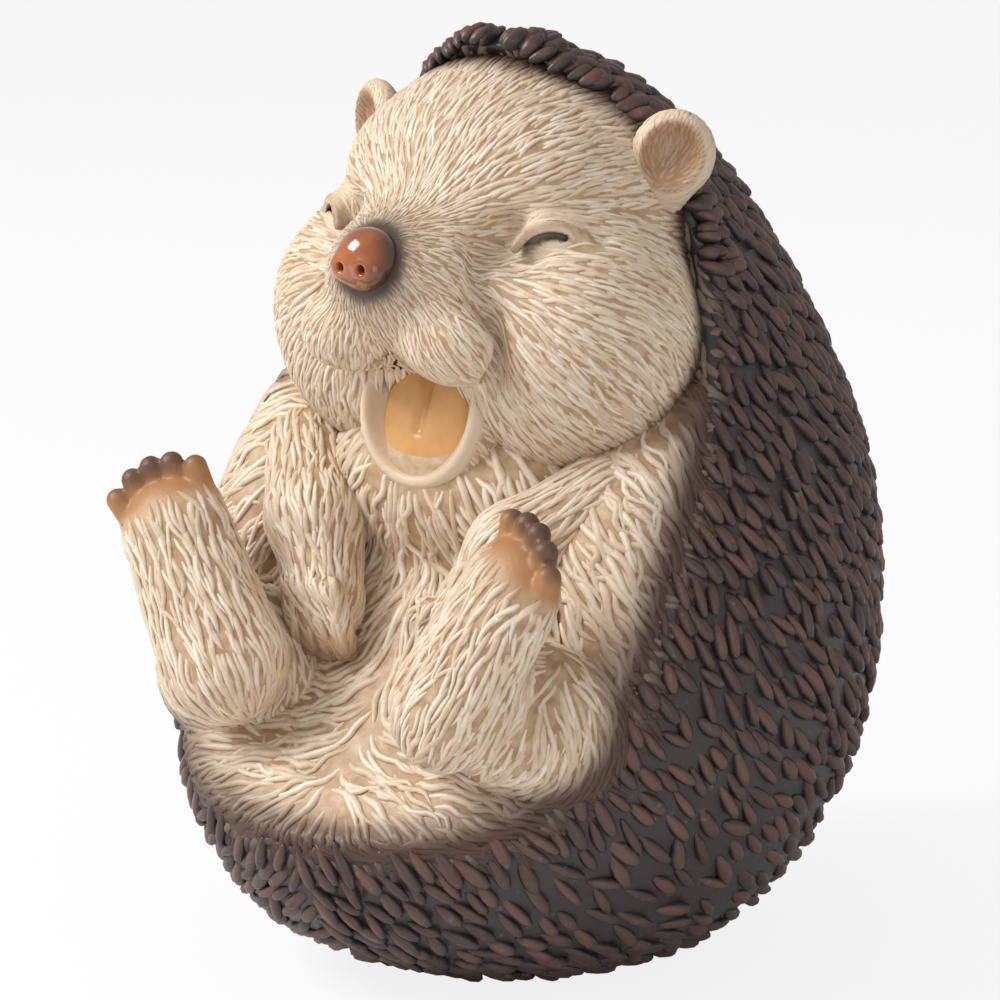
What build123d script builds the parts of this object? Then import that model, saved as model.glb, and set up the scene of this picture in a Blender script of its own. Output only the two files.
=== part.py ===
from build123d import *
import math
import os

os.makedirs("parts", exist_ok=True)

# The figure sits on z = 0 and faces -Y, so its left side is +X. Sizes are in millimetres.
# A place is measured from the middle of the base. Paired pieces are given for the left side.

# Fits
glue_gap = 0.3
lining_gap = 0.8
rim_gap = 2.4
overrun = 2.0

# Sizes of the quilled coat
coat_width = 121.6
coat_depth = 144.0
coat_height = 167.0
coat_wall = 6.0
quill_lift = 1.7
tiers = 21
quills_per_tier = 36

# Each row of the coat: height, half width, half depth and how far back its middle lies
coat_row_shares = [
    (0.000, 0.430, 0.375, 0.000),
    (0.024, 0.590, 0.530, 0.014),
    (0.060, 0.725, 0.695, 0.000),
    (0.149, 0.896, 0.889, 0.007),
    (0.286, 1.000, 0.980, 0.028),
    (0.417, 0.980, 1.000, 0.060),
    (0.536, 0.890, 0.960, 0.090),
    (0.649, 0.765, 0.880, 0.080),
    (0.762, 0.633, 0.690, 0.083),
    (0.869, 0.500, 0.510, 0.028),
    (0.952, 0.320, 0.270, -0.020),
    (1.000, 0.107, 0.083, -0.083),
]

# The edge of the front opening seen from the side: height, and how far back it lies
opening_shares = [
    (0.000, -1.000),
    (0.185, -0.960),
    (0.205, -0.790),
    (0.230, -0.690),
    (0.275, -0.600),
    (0.320, -0.535),
    (0.370, -0.470),
    (0.465, -0.347),
    (0.560, -0.194),
    (0.655, -0.040),
    (0.762, 0.070),
    (0.870, 0.083),
    (0.940, 0.000),
    (1.000, -0.130),
]

# How far the tips hang below a tier and the notches between them rise, and their lift
tip_drop_share = 0.50
notch_rise_share = 0.30
notch_lift_share = 0.45
first_tier_share = 0.975

# The lining takes more rows where the opening's edge moves round by more than this, in radians
edge_turn_step = 0.2

# Base hole, its plug and the felt disc that the figure rests on
plug_radius = 13.0
plug_thickness = 4.0
plug_chamfer = 0.8
felt_radius = 23.0
felt_thickness = 1.0

# Belly and chest
belly_width = 110.0
belly_depth = 80.0
belly_height = 78.0
belly_bottom = 16.0
belly_wall = 8.0
flank_width = 32.0
flank_depth = 40.0
flank_height = 50.0
flank_x = 37.0
flank_y = -13.0
flank_z = 73.0

# Each row of the belly: height, half width, half depth and how far back its middle lies
belly_row_shares = [
    (0.00, 0.80, 1.00, -0.30),
    (0.15, 0.95, 1.15, -0.32),
    (0.27, 0.97, 1.00, -0.34),
    (0.46, 0.98, 0.62, -0.42),
    (0.60, 1.00, 0.44, -0.44),
    (0.80, 0.97, 0.42, -0.18),
    (1.00, 0.92, 0.50, 0.00),
]

# Head
skull_width = 64.0
skull_depth = 65.0
skull_height = 62.0
skull_y = 1.5
skull_z = 133.5
brow_width = 46.0
brow_depth = 24.0
brow_height = 20.0
brow_y = -13.0
brow_z = 145.0
cheek_width = 43.0
cheek_depth = 46.0
cheek_height = 44.0
cheek_x = 19.5
cheek_y = -9.0
cheek_z = 114.0
cheekbone_width = 30.0
cheekbone_depth = 32.0
cheekbone_height = 30.0
cheekbone_x = 23.5
cheekbone_y = -12.5
cheekbone_z = 121.0
muzzle_width = 34.0
muzzle_length = 42.0
muzzle_height = 28.0
muzzle_y = -26.0
muzzle_z = 125.5
muzzle_tilt = -18.0
lip_width = 21.0
lip_depth = 20.0
lip_height = 16.5
lip_x = 9.3
lip_y = -32.5
lip_z = 120.2

# Closed eyes
eye_x = 21.5
eye_y = -20.5
eye_z = 135.5
eye_turn = 42.0
lid_width = 13.0
lid_depth = 7.0
lid_height = 9.0
lash_radius = 5.2
lash_thickness = 0.7
lash_arc = 130.0

# Ears
ear_width = 13.4
ear_depth = 7.0
ear_height = 15.0
ear_wall = 2.0
ear_x = 32.5
ear_y = 0.5
ear_z = 148.5
ear_lean = 22.0
ear_peg_radius = 2.0
ear_peg_length = 14.0

# Nose
nose_width = 11.8
nose_depth = 11.0
nose_height = 11.4
nose_y = -43.5
nose_z = 132.6
nostril_radius = 1.5
nostril_depth = 2.4
nostril_x = 2.3
nose_peg_radius = 2.5
nose_peg_length = 12.0

# Lower jaw, mouth and tongue
jaw_width = 29.0
jaw_depth = 24.0
jaw_height = 29.0
jaw_y = -24.0
jaw_z = 103.0
mouth_width = 22.0
mouth_depth = 22.0
mouth_height = 26.0
mouth_y = -33.0
mouth_z = 106.0
tongue_width = 14.5
tongue_thickness = 5.0
tongue_length = 21.0
tongue_y = -26.0
tongue_z = 102.0
tongue_tilt = -14.0
tongue_groove = 1.2

# Arms
shoulder_x = 33.0
shoulder_y = -19.0
shoulder_z = 90.0
shoulder_radius = 9.0
wrist_x = 19.0
wrist_y = -33.5
wrist_z = 75.0
wrist_radius = 7.0
paw_x = 15.5
paw_y = -36.5
paw_z = 68.2
paw_width = 12.5
paw_depth = 9.0
paw_height = 14.0
finger_radius = 1.9
finger_length = 7.0
finger_count = 4
finger_fan = 14.0

# Hind legs. The shank is thinner than it is wide, and turned so that its sole looks inwards
shank_flatness_share = 0.72
shank_spin = -25.0
haunch_width = 34.0
haunch_depth = 29.0
haunch_height = 31.0
haunch_x = 33.0
haunch_y = -38.0
haunch_z = 54.0
knee_x = 24.8
knee_y = -54.0
knee_z = 60.5
knee_radius = 12.0
foot_x = 37.0
foot_y = -52.0
foot_z = 81.5
foot_radius = 11.0
toe_radius = 2.5
toe_length = 6.4
toe_count = 5
toe_pitch = 4.2
toe_setback = 1.1
claw_length = 2.4

# Dowels that pin the castings to one another
limb_dowel_radius = 2.0
limb_dowel_length = 13.0
neck_dowel_radius = 4.0
neck_dowel_length = 24.0
neck_dowel_y = 2.0
neck_dowel_z = 95.0
arm_dowel_x = 32.0
arm_dowel_y = -15.0
arm_dowel_z = 88.0
leg_dowel_x = 34.0
leg_dowel_y = -33.5
leg_dowel_z = 54.0

# The coat stands on its felt
coat_bottom = felt_thickness
tier_pitch = (first_tier_share * coat_height - coat_wall) / tiers


def between(rows, share):
    # The values of a table of shares at one height, on straight lines between its rows
    for low, high in zip(rows, rows[1:]):
        if share <= high[0]:
            part = (share - low[0]) / (high[0] - low[0])
            return [a + part * (b - a) for a, b in zip(low[1:], high[1:])]
    return list(rows[-1][1:])


def coat_row(height):
    # Half width, half depth and middle of the coat at a height above its bottom
    wide, deep, back = between(coat_row_shares, height / coat_height)
    return wide * coat_width / 2, deep * coat_depth / 2, back * coat_depth / 2


def opening_y(height):
    return between(opening_shares, height / coat_height)[0] * coat_depth / 2


def rim_turn(height):
    # The turn from the front at which the opening's edge meets the coat at this height
    half_width, half_depth, middle = coat_row(height)
    cosine = (middle - opening_y(height)) / half_depth
    return 0.0 if cosine >= 1 else math.acos(cosine)


def coat_point(height, turn, out):
    # A point on the coat, with the turn counted from the front and out along its surface
    half_width, half_depth, middle = coat_row(height)
    x = (half_width + out) * math.sin(turn)
    y = middle - (half_depth + out) * math.cos(turn)
    return Vector(x, y, coat_bottom + height)


def tier_height(tier):
    # Tiers are counted down from the crest to the base
    return first_tier_share * coat_height - tier * tier_pitch


def tier_turn(tier, step):
    # Steps are half quills, counted from the opening's one edge round the back to its other
    edge = rim_turn(tier_height(tier))
    return edge + step / (2 * quills_per_tier) * (2 * math.pi - 2 * edge)


def hem_point(tier, step, lifted):
    # A point of a tier's zigzag hem: tips hang low and lifted, notches lie between them
    height = tier_height(tier)
    lift = notch_lift_share * quill_lift
    at_edge = step in (0, 2 * quills_per_tier)
    if at_edge and rim_turn(height) > 0:
        return coat_point(height, tier_turn(tier, step), lift if lifted else 0.0)
    if (tier + step) % 2 == 0:
        height -= tip_drop_share * tier_pitch
        lift = quill_lift
    else:
        height += notch_rise_share * tier_pitch
    return coat_point(height, tier_turn(tier, step), lift if lifted else 0.0)


def lining_rows(tier):
    # Rows of points inside the coat, from one tier down to the next, without the next one's
    edge = rim_turn(tier_height(tier))
    if tier == tiers:
        next_edge = edge
    else:
        next_edge = rim_turn(tier_height(tier + 1))
    parts = max(1, math.ceil(abs(next_edge - edge) / edge_turn_step))
    rows = []
    for part in range(parts):
        height = tier_height(tier + part / parts)
        start = edge + (next_edge - edge) * part / parts
        turn_step = (2 * math.pi - 2 * start) / quills_per_tier
        turns = [start + i * turn_step for i in range(quills_per_tier + 1)]
        rows.append([coat_point(height, turn, -coat_wall) for turn in turns])
    return rows


def triangle(a, b, c):
    return Face(Wire.make_polygon([a, b, c], close=True))


def strip(upper, lower):
    # Triangles between two lines of points of equal number
    faces = []
    for i in range(len(upper) - 1):
        faces.append(triangle(upper[i], lower[i], lower[i + 1]))
        faces.append(triangle(upper[i], lower[i + 1], upper[i + 1]))
    return faces


def fan(middle, points):
    return [triangle(middle, a, b) for a, b in zip(points, points[1:])]


def quill_faces():
    # Each quill is a ridged scale from a notch of one tier down to a tip of the next one
    faces = []
    steps = range(2 * quills_per_tier + 1)
    for tier in range(tiers + 1):
        hem = [hem_point(tier, step, True) for step in steps]
        under = [hem_point(tier, step, False) for step in steps]
        faces += strip(hem, under)
        if tier == tiers:
            continue
        for step in steps[1:-1]:
            if (tier + step) % 2 == 0:
                continue
            root = under[step]
            tip = hem_point(tier + 1, step, True)
            for side in (-1, 1):
                upper = under[step + side]
                lower = hem_point(tier + 1, step + side, True)
                faces.append(triangle(root, upper, tip))
                faces.append(triangle(upper, lower, tip))
        for edge, side in ((0, 1), (2 * quills_per_tier, -1)):
            # Half quills finish the tier at the opening's edges
            if (tier + edge) % 2 == 1:
                root = under[edge]
                tip = hem_point(tier + 1, edge, True)
                upper = under[edge + side]
                lower = hem_point(tier + 1, edge + side, True)
                faces.append(triangle(root, upper, tip))
                faces.append(triangle(upper, lower, tip))
    return faces


def inner_faces():
    # The smooth inside of the coat, down to its floor
    faces = []
    rows = []
    for tier in range(tiers + 1):
        rows += lining_rows(tier)
    for upper, lower in zip(rows, rows[1:]):
        faces += strip(upper, lower)
    return faces


def rim_faces():
    # The edge of the opening, from the crest down to where both sides meet in front
    faces = []
    for edge, column in ((0, 0), (2 * quills_per_tier, -1)):
        for tier in range(tiers):
            if rim_turn(tier_height(tier)) == 0:
                break
            under = hem_point(tier, edge, False)
            next_hem = hem_point(tier + 1, edge, True)
            next_under = hem_point(tier + 1, edge, False)
            inner = [row[column] for row in lining_rows(tier)]
            inner.append(lining_rows(tier + 1)[0][column])
            faces.append(triangle(under, next_hem, inner[0]))
            faces += fan(next_hem, inner[:-1])
            if rim_turn(tier_height(tier + 1)) > 0:
                faces.append(triangle(next_hem, next_under, inner[-2]))
                faces.append(triangle(next_under, inner[-1], inner[-2]))
            else:
                faces.append(triangle(next_hem, inner[-1], inner[-2]))
    return faces


def crest_faces():
    # The cap over the first tier, outside and inside, closed along the opening's edge
    last = 2 * quills_per_tier
    middle = coat_row(tier_height(0))[2]
    edge_y = hem_point(0, 0, True).Y
    top = Vector(0, (middle + edge_y) / 2, coat_bottom + coat_height)
    inner = lining_rows(0)[0]
    inner_top = Vector(0, inner[0].Y, inner[0].Z)
    hem = [hem_point(0, step, True) for step in range(last + 1)]
    faces = fan(top, hem) + fan(inner_top, inner)
    for edge in (0, -1):
        under = hem_point(0, last if edge else 0, False)
        faces.append(triangle(top, hem[edge], inner_top))
        faces.append(triangle(hem[edge], under, inner_top))
        faces.append(triangle(under, inner[edge], inner_top))
    return faces


def base_faces():
    # The foot under the lowest tier, its flat bottom and floor, and the hole for the plug
    last = 2 * quills_per_tier
    under = [hem_point(tiers, step, False) for step in range(last + 1)]
    foot = [coat_point(0, tier_turn(tiers, step), 0) for step in range(last + 1)]
    floor = lining_rows(tiers)[0][:-1]
    floor_height = tier_height(tiers)
    low_hole = Pos(0, 0, coat_bottom) * Wire.make_circle(plug_radius)
    high_hole = Pos(0, 0, coat_bottom + floor_height) * Wire.make_circle(plug_radius)
    faces = strip(under, foot)
    faces.append(Face(Wire.make_polygon(foot[:-1], close=True), [low_hole]))
    faces.append(Face(Wire.make_polygon(floor, close=True), [high_hole]))
    hole = Pos(0, 0, coat_bottom) * Solid.make_cylinder(plug_radius, floor_height)
    faces.append(hole.faces().filter_by(GeomType.CYLINDER)[0])
    return faces


def make_coat():
    skin = quill_faces() + rim_faces() + inner_faces() + crest_faces() + base_faces()
    return Solid(Shell(skin))


def coat_lining(grow):
    # The space inside the coat, as a ruled loft through its tiers
    rings = []
    for tier in range(tiers + 1):
        half_width, half_depth, middle = coat_row(tier_height(tier))
        ring = Ellipse(half_width + grow, half_depth + grow)
        rings.append(Pos(0, middle, coat_bottom + tier_height(tier)) * ring)
    return loft(rings, ruled=True)


def egg(width, depth, height):
    # A rounded form of three sizes round its own middle
    return scale(Sphere(1), by=(width / 2, depth / 2, height / 2))


def both_sides(piece):
    return [piece, mirror(piece, about=Plane.YZ)]


def limb_about_z(length, start_radius, end_radius):
    # A limb with rounded ends, turned about Z from its start up to its end
    half = math.sqrt(0.5)
    start_middle = (half * start_radius, -half * start_radius)
    end_middle = (half * end_radius, length + half * end_radius)
    outline = [
        ThreePointArc((0, -start_radius), start_middle, (start_radius, 0)),
        Line((start_radius, 0), (end_radius, length)),
        ThreePointArc((end_radius, length), end_middle, (0, length + end_radius)),
        Line((0, length + end_radius), (0, -start_radius)),
    ]
    return revolve(Plane.XZ * make_face(outline), Axis.Z)


def tapered_limb(start, end, start_radius, end_radius):
    along = Vector(*end) - Vector(*start)
    limb = limb_about_z(along.length, start_radius, end_radius)
    return Plane(origin=start, z_dir=along) * limb


def rod(radius, length):
    return Cylinder(radius, length)


def rim_y(height):
    # How far back the edge of the opening lies, or the coat's front below the opening
    half_width, half_depth, middle = coat_row(height)
    return middle - half_depth * math.cos(rim_turn(height))


def wall_region():
    # All that lies behind the opening's edge, or below it, and outside the coat's lining
    heights = [coat_height + overrun]
    heights += [tier_height(tier) for tier in range(tiers + 1)]
    heights = [height for height in heights if rim_turn(height) > 0]
    outline = [(0, coat_depth, coat_bottom + heights[0])]
    outline += [(0, rim_y(height) - rim_gap, coat_bottom + height) for height in heights]
    outline += [(0, -coat_depth, coat_bottom + heights[-1])]
    outline += [(0, -coat_depth, coat_bottom), (0, coat_depth, coat_bottom)]
    behind = extrude(make_face(Polyline(*outline, close=True)), coat_width, both=True, dir=(1, 0, 0))
    return behind - coat_lining(-coat_wall - lining_gap)


def belly_rows(rows, side_wall, front_wall):
    faces = []
    for height, wide, deep, back in rows:
        half_width = wide * belly_width / 2 - side_wall
        half_depth = deep * belly_depth / 2
        y = back * belly_depth / 2 + front_wall
        z = belly_bottom + height * belly_height
        faces.append(Pos(0, y, z) * Ellipse(half_width, half_depth))
    return loft(faces)


def belly_form(grow):
    form = belly_rows(belly_row_shares, -grow, -grow)
    flank = egg(flank_width + 2 * grow, flank_depth + 2 * grow, flank_height + 2 * grow)
    for side in both_sides(Pos(flank_x, flank_y, flank_z) * flank):
        form += side
    return form


def head_form(grow):
    # Skull, brow, cheeks, cheekbones, muzzle and lips of the head, each grown by the same gap
    swell = 2 * grow
    form = Pos(0, skull_y, skull_z) * egg(skull_width + swell, skull_depth + swell, skull_height + swell)
    form += Pos(0, brow_y, brow_z) * egg(brow_width + swell, brow_depth + swell, brow_height + swell)
    cheek = egg(cheek_width + swell, cheek_depth + swell, cheek_height + swell)
    for side in both_sides(Pos(cheek_x, cheek_y, cheek_z) * cheek):
        form += side
    cheekbone = egg(cheekbone_width + swell, cheekbone_depth + swell, cheekbone_height + swell)
    for side in both_sides(Pos(cheekbone_x, cheekbone_y, cheekbone_z) * cheekbone):
        form += side
    muzzle = egg(muzzle_width + swell, muzzle_length + swell, muzzle_height + swell)
    form += Pos(0, muzzle_y, muzzle_z) * Rot(muzzle_tilt, 0, 0) * muzzle
    lip = egg(lip_width + swell, lip_depth + swell, lip_height + swell)
    for side in both_sides(Pos(lip_x, lip_y, lip_z) * lip):
        form += side
    return form


def jaw_form(grow):
    swell = 2 * grow
    return Pos(0, jaw_y, jaw_z) * egg(jaw_width + swell, jaw_depth + swell, jaw_height + swell)


def mouth_space():
    return Pos(0, mouth_y, mouth_z) * egg(mouth_width, mouth_depth, mouth_height)


def ear_place():
    return Pos(ear_x, ear_y, ear_z) * Rot(0, ear_lean, 0)


def ear_peg(grow):
    # The peg runs from the ear down into the head
    peg = rod(ear_peg_radius + grow, ear_peg_length + 2 * grow)
    return ear_place() * Pos(0, 0, -ear_height / 2) * peg


def nose_peg(grow):
    peg = Rot(90, 0, 0) * rod(nose_peg_radius + grow, nose_peg_length + 2 * grow)
    return Pos(0, nose_y + nose_peg_length / 2, nose_z) * peg


def neck_dowel(grow):
    place = Pos(0, neck_dowel_y, neck_dowel_z)
    return place * rod(neck_dowel_radius + grow, neck_dowel_length + 2 * grow)


def limb_dowel(x, y, z, grow):
    dowel = Rot(90, 0, 0) * rod(limb_dowel_radius + grow, limb_dowel_length + 2 * grow)
    return Pos(x, y, z) * dowel


def arm_dowels(grow):
    return both_sides(limb_dowel(arm_dowel_x, arm_dowel_y, arm_dowel_z, grow))


def leg_dowels(grow):
    return both_sides(limb_dowel(leg_dowel_x, leg_dowel_y, leg_dowel_z, grow))


def make_belly(walls):
    # A hollow casting, cut back where the coat, the head, the jaw and the dowels are
    hollow = belly_rows(belly_row_shares[:-1], belly_wall, belly_wall)
    belly = belly_form(0) - hollow - walls
    belly -= head_form(glue_gap)
    belly -= jaw_form(glue_gap)
    belly -= neck_dowel(glue_gap)
    for dowel in arm_dowels(glue_gap) + leg_dowels(glue_gap):
        belly -= dowel
    return belly


def closed_eye():
    # A lid over the eye, with the smiling line where the lids meet
    face_out = Pos(eye_x, eye_y, eye_z) * Rot(0, 0, eye_turn)
    lid = face_out * egg(lid_width, lid_depth, lid_height)
    start = 90 - lash_arc / 2
    line = Torus(lash_radius, lash_thickness, major_angle=lash_arc)
    line = Rot(90, 0, 0) * Rot(0, 0, start) * line
    line = face_out * Pos(0, -lid_depth / 2, -lash_radius / 2) * line
    return lid, line


def make_head(walls):
    # Lids are raised and their lines sunk before the seats of the other pieces are cut
    head = head_form(0)
    lid, line = closed_eye()
    for side in both_sides(lid):
        head += side
    for side in both_sides(line):
        head -= side
    head -= walls
    head -= mouth_space()
    head -= tongue_form(glue_gap)
    head -= nose_form(glue_gap)
    head -= nose_peg(glue_gap)
    for side in both_sides(ear_form(glue_gap) + ear_peg(glue_gap)):
        head -= side
    return head - neck_dowel(glue_gap)


def nose_form(grow):
    swell = 2 * grow
    return Pos(0, nose_y, nose_z) * egg(nose_width + swell, nose_depth + swell, nose_height + swell)


def make_nose():
    nose = nose_form(0) + nose_peg(0)
    nostril = Rot(90, 0, 0) * Cone(0, nostril_radius, nostril_depth)
    for side in both_sides(Pos(nostril_x, nose_y - nose_depth / 2 + nostril_depth / 2, nose_z) * nostril):
        nose -= side
    return nose


def ear_form(grow):
    swell = 2 * grow
    return ear_place() * egg(ear_width + swell, ear_depth + swell, ear_height + swell)


def make_ear():
    # An oval dished from the front, with a peg
    dish = egg(ear_width - 2 * ear_wall, ear_depth, ear_height - 2 * ear_wall)
    ear = ear_form(0) - ear_place() * Pos(0, -ear_depth / 2, 0) * dish
    return ear + ear_peg(0)


def tongue_place():
    return Pos(0, tongue_y, tongue_z) * Rot(tongue_tilt, 0, 0)


def tongue_form(grow):
    swell = 2 * grow
    return tongue_place() * egg(tongue_width + swell, tongue_thickness + swell, tongue_length + swell)


def make_jaw():
    jaw = jaw_form(0) - head_form(glue_gap) - mouth_space() - tongue_form(glue_gap)
    return jaw.solids().sort_by(SortBy.VOLUME)[-1]


def make_tongue():
    groove = tongue_place() * Pos(0, -tongue_thickness / 2, 0) * Cylinder(tongue_groove / 2, tongue_length)
    return tongue_form(0) - groove


def make_arm():
    shoulder = (shoulder_x, shoulder_y, shoulder_z)
    wrist = (wrist_x, wrist_y, wrist_z)
    arm = tapered_limb(shoulder, wrist, shoulder_radius, wrist_radius)
    arm += Pos(paw_x, paw_y, paw_z) * egg(paw_width, paw_depth, paw_height)
    for i in range(finger_count):
        spread = i - (finger_count - 1) / 2
        finger = Pos(paw_x, paw_y, paw_z) * Rot(0, spread * finger_fan, 0) * Pos(0, 0, -paw_height / 2)
        arm += finger * scale(Sphere(1), by=(finger_radius, finger_radius, finger_length / 2))
    return arm


def shank_place():
    # The foot's place, looking on from the knee, with its own X across the toes
    along = Vector(foot_x - knee_x, foot_y - knee_y, foot_z - knee_z)
    place = Plane(origin=(foot_x, foot_y, foot_z), x_dir=(along.Z, 0, -along.X), z_dir=along)
    return place * Rot(0, 0, shank_spin)


def leg_form(grow):
    # The haunch, and the flattened shank that is drawn up from the knee to the foot
    swell = 2 * grow
    haunch = egg(haunch_width + swell, haunch_depth + swell, haunch_height + swell)
    length = Vector(foot_x - knee_x, foot_y - knee_y, foot_z - knee_z).length
    shank = limb_about_z(length, knee_radius + grow, foot_radius + grow)
    shank = scale(Pos(0, 0, -length) * shank, by=(1, shank_flatness_share, 1))
    return Pos(haunch_x, haunch_y, haunch_z) * haunch + shank_place() * shank


def make_leg():
    # Toes stand side by side on the foot, the outer ones set back
    leg = leg_form(0)
    for i in range(toe_count):
        spread = i - (toe_count - 1) / 2
        tip = foot_radius - toe_setback * spread ** 2
        toe = shank_place() * Pos(spread * toe_pitch, 0, tip)
        leg += toe * scale(Sphere(1), by=(toe_radius, toe_radius, toe_length / 2))
        leg += toe * Pos(0, 0, toe_length / 2) * Cone(toe_radius / 2, toe_radius / 6, claw_length)
    return leg


def fit_limb(limb, seats):
    # A limb is cut back by what it seats on, and takes its dowel
    for seat in seats:
        limb -= seat
    return limb.solids().sort_by(SortBy.VOLUME)[-1]


def make_plug():
    plug = Pos(0, 0, coat_bottom + plug_thickness / 2) * rod(plug_radius - glue_gap, plug_thickness)
    return chamfer(plug.edges().group_by(Axis.Z)[0], plug_chamfer)


def make_felt():
    # One disc covers the plug and is what the figure stands on
    return Pos(0, 0, felt_thickness / 2) * rod(felt_radius, felt_thickness)


def save(name, shapes):
    if isinstance(shapes, list):
        shapes = Compound(shapes)
    export_step(shapes, f"parts/{name}.step")


coat_walls = wall_region()
limb_seats = [belly_form(glue_gap), coat_walls]
arm_seats = limb_seats + [head_form(glue_gap), leg_form(glue_gap)] + arm_dowels(glue_gap)
leg_seats = limb_seats + leg_dowels(glue_gap)
arm = fit_limb(make_arm(), arm_seats)
leg = fit_limb(make_leg(), leg_seats)

save("quill_coat", make_coat())
save("belly", make_belly(coat_walls))
save("head", make_head(coat_walls))
save("jaw", make_jaw())
save("tongue", make_tongue())
save("nose", make_nose())
save("ear_left", make_ear())
save("ear_right", mirror(make_ear(), about=Plane.YZ))
save("arm_left", arm)
save("arm_right", mirror(arm, about=Plane.YZ))
save("leg_left", leg)
save("leg_right", mirror(leg, about=Plane.YZ))
save("neck_dowel", neck_dowel(0))
save("arm_dowels", arm_dowels(0))
save("leg_dowels", leg_dowels(0))
save("base_plug", make_plug())
save("base_felt", make_felt())
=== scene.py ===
import math

import bpy
import numpy as np
import openvdb
from mathutils import Matrix, Vector


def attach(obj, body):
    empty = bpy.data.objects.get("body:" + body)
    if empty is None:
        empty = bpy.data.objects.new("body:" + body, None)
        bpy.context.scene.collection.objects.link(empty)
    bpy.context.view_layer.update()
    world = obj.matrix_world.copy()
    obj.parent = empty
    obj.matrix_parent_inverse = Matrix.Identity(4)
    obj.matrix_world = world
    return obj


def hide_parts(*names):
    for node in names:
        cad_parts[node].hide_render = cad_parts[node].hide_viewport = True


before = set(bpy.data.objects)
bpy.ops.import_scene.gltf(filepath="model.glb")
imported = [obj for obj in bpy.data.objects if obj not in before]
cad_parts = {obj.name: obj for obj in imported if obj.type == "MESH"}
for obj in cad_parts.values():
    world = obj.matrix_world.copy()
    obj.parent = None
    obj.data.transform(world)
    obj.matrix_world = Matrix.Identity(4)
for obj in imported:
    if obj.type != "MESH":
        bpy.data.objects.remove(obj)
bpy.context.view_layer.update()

# Shapes are worked out in millimetres and turned into metres when a mesh is made
MM = 0.001
SEED = 7
# Keeps a division away from nought
TINY = 1e-9
# A form's slope counts as at least this steep when points are moved onto its surface
LEAST_STEEPNESS = 0.1
POINTS_AT_ONCE = 300000

# The photograph: where the camera stands and how large a millimetre is in it
PHOTO_PIXELS = 1000
PHOTO_AZIMUTH = math.radians(37.0)
PHOTO_ELEVATION = math.radians(13.0)
PHOTO_PIXELS_PER_MM = 5.5
CAMERA_DISTANCE = 800.0
CAMERA_TARGET = (-5.58, 1.26, 81.6)
SENSOR_WIDTH = 36.0


# Distances in space, from which the rounded forms are made

def turn_matrix(degrees):
    x, y, z = (math.radians(angle) for angle in degrees)
    return np.array(Matrix.Rotation(z, 3, "Z") @ Matrix.Rotation(y, 3, "Y") @ Matrix.Rotation(x, 3, "X"))


def to_local(points, centre, turn):
    return (points - np.array(centre)) @ turn_matrix(turn)


def egg(points, centre, radii, turn=(0, 0, 0)):
    radii = np.array(radii)
    scaled = to_local(points, centre, turn) / radii
    near = np.linalg.norm(scaled, axis=-1)
    slope = np.linalg.norm(scaled / radii, axis=-1)
    return near * (near - 1) / np.maximum(slope, TINY)


def oval_tube(points, wide, deep, middle):
    # An upright tube with an oval section, whose middle lies at a place along Y
    across = points[..., 0] / wide
    along = (points[..., 1] - middle) / deep
    near = np.sqrt(across ** 2 + along ** 2)
    slope = np.sqrt((across / wide) ** 2 + (along / deep) ** 2)
    return near * (near - 1) / np.maximum(slope, TINY)


def rod(points, start, end, start_radius, end_radius):
    start = np.array(start, float)
    along = np.array(end, float) - start
    share = np.clip((points - start) @ along / (along @ along), 0, 1)
    axis_points = start + share[..., None] * along
    radius = start_radius + (end_radius - start_radius) * share
    return np.linalg.norm(points - axis_points, axis=-1) - radius


def arc_rod(points, centre, turn, radius, half_angle, thickness):
    # A bent rod in the plane of its own X and Z, its middle at the top of the arc
    local = to_local(points, centre, turn)
    angle = np.clip(np.arctan2(local[..., 0], local[..., 2]), -half_angle, half_angle)
    nearest = np.stack([radius * np.sin(angle), np.zeros_like(angle), radius * np.cos(angle)], -1)
    return np.linalg.norm(local - nearest, axis=-1) - thickness


def chain(points, places, radius):
    # A bent rod through a few places
    spans = [rod(points, start, end, radius, radius) for start, end in zip(places, places[1:])]
    return np.minimum.reduce(spans)


def join(first, second, blend):
    share = np.clip(0.5 + 0.5 * (second - first) / blend, 0, 1)
    return second * (1 - share) + first * share - blend * share * (1 - share)


def carve(form, tool, blend):
    return -join(-form, tool, blend)


def smooth_step(low, high, value):
    share = np.clip((value - low) / (high - low), 0, 1)
    return share * share * (3 - 2 * share)


def through(rows, height, column):
    # A smooth line through a column of the rows, read at any height
    rows = np.array(rows, float)
    heights, values = rows[:, 0], rows[:, column]
    slopes = np.gradient(values, heights)
    height = np.clip(height, heights[0], heights[-1])
    after = np.clip(np.searchsorted(heights, height), 1, len(heights) - 1)
    span = heights[after] - heights[after - 1]
    share = (height - heights[after - 1]) / span
    rise = share * share * (3 - 2 * share)
    return (
        values[after - 1] * (1 - rise)
        + values[after] * rise
        + span * share * (1 - share) ** 2 * slopes[after - 1]
        - span * share ** 2 * (1 - share) * slopes[after]
    )


def mirrored(points):
    # Points of the right side are moved to the left, so that paired forms are worked out once
    return np.concatenate([np.abs(points[..., :1]), points[..., 1:]], -1)


def gradient(form, points, step=0.05):
    parts = [form(points + step * axis) - form(points - step * axis) for axis in np.eye(3)]
    return np.stack(parts, -1) / (2 * step)


def unit(vectors):
    return vectors / np.maximum(np.linalg.norm(vectors, axis=-1, keepdims=True), TINY)


def step_onto(form, points):
    # Points moved once towards a form's surface, and the form's slope where they stood before
    slope = gradient(form, points)
    steep = np.maximum((slope * slope).sum(-1), LEAST_STEEPNESS)
    return points - (form(points) / steep)[..., None] * slope, slope


def settle(form, points, rounds=2):
    # Points near a form are moved onto its surface
    for _ in range(rounds):
        points = step_onto(form, points)[0]
    return points


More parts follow.
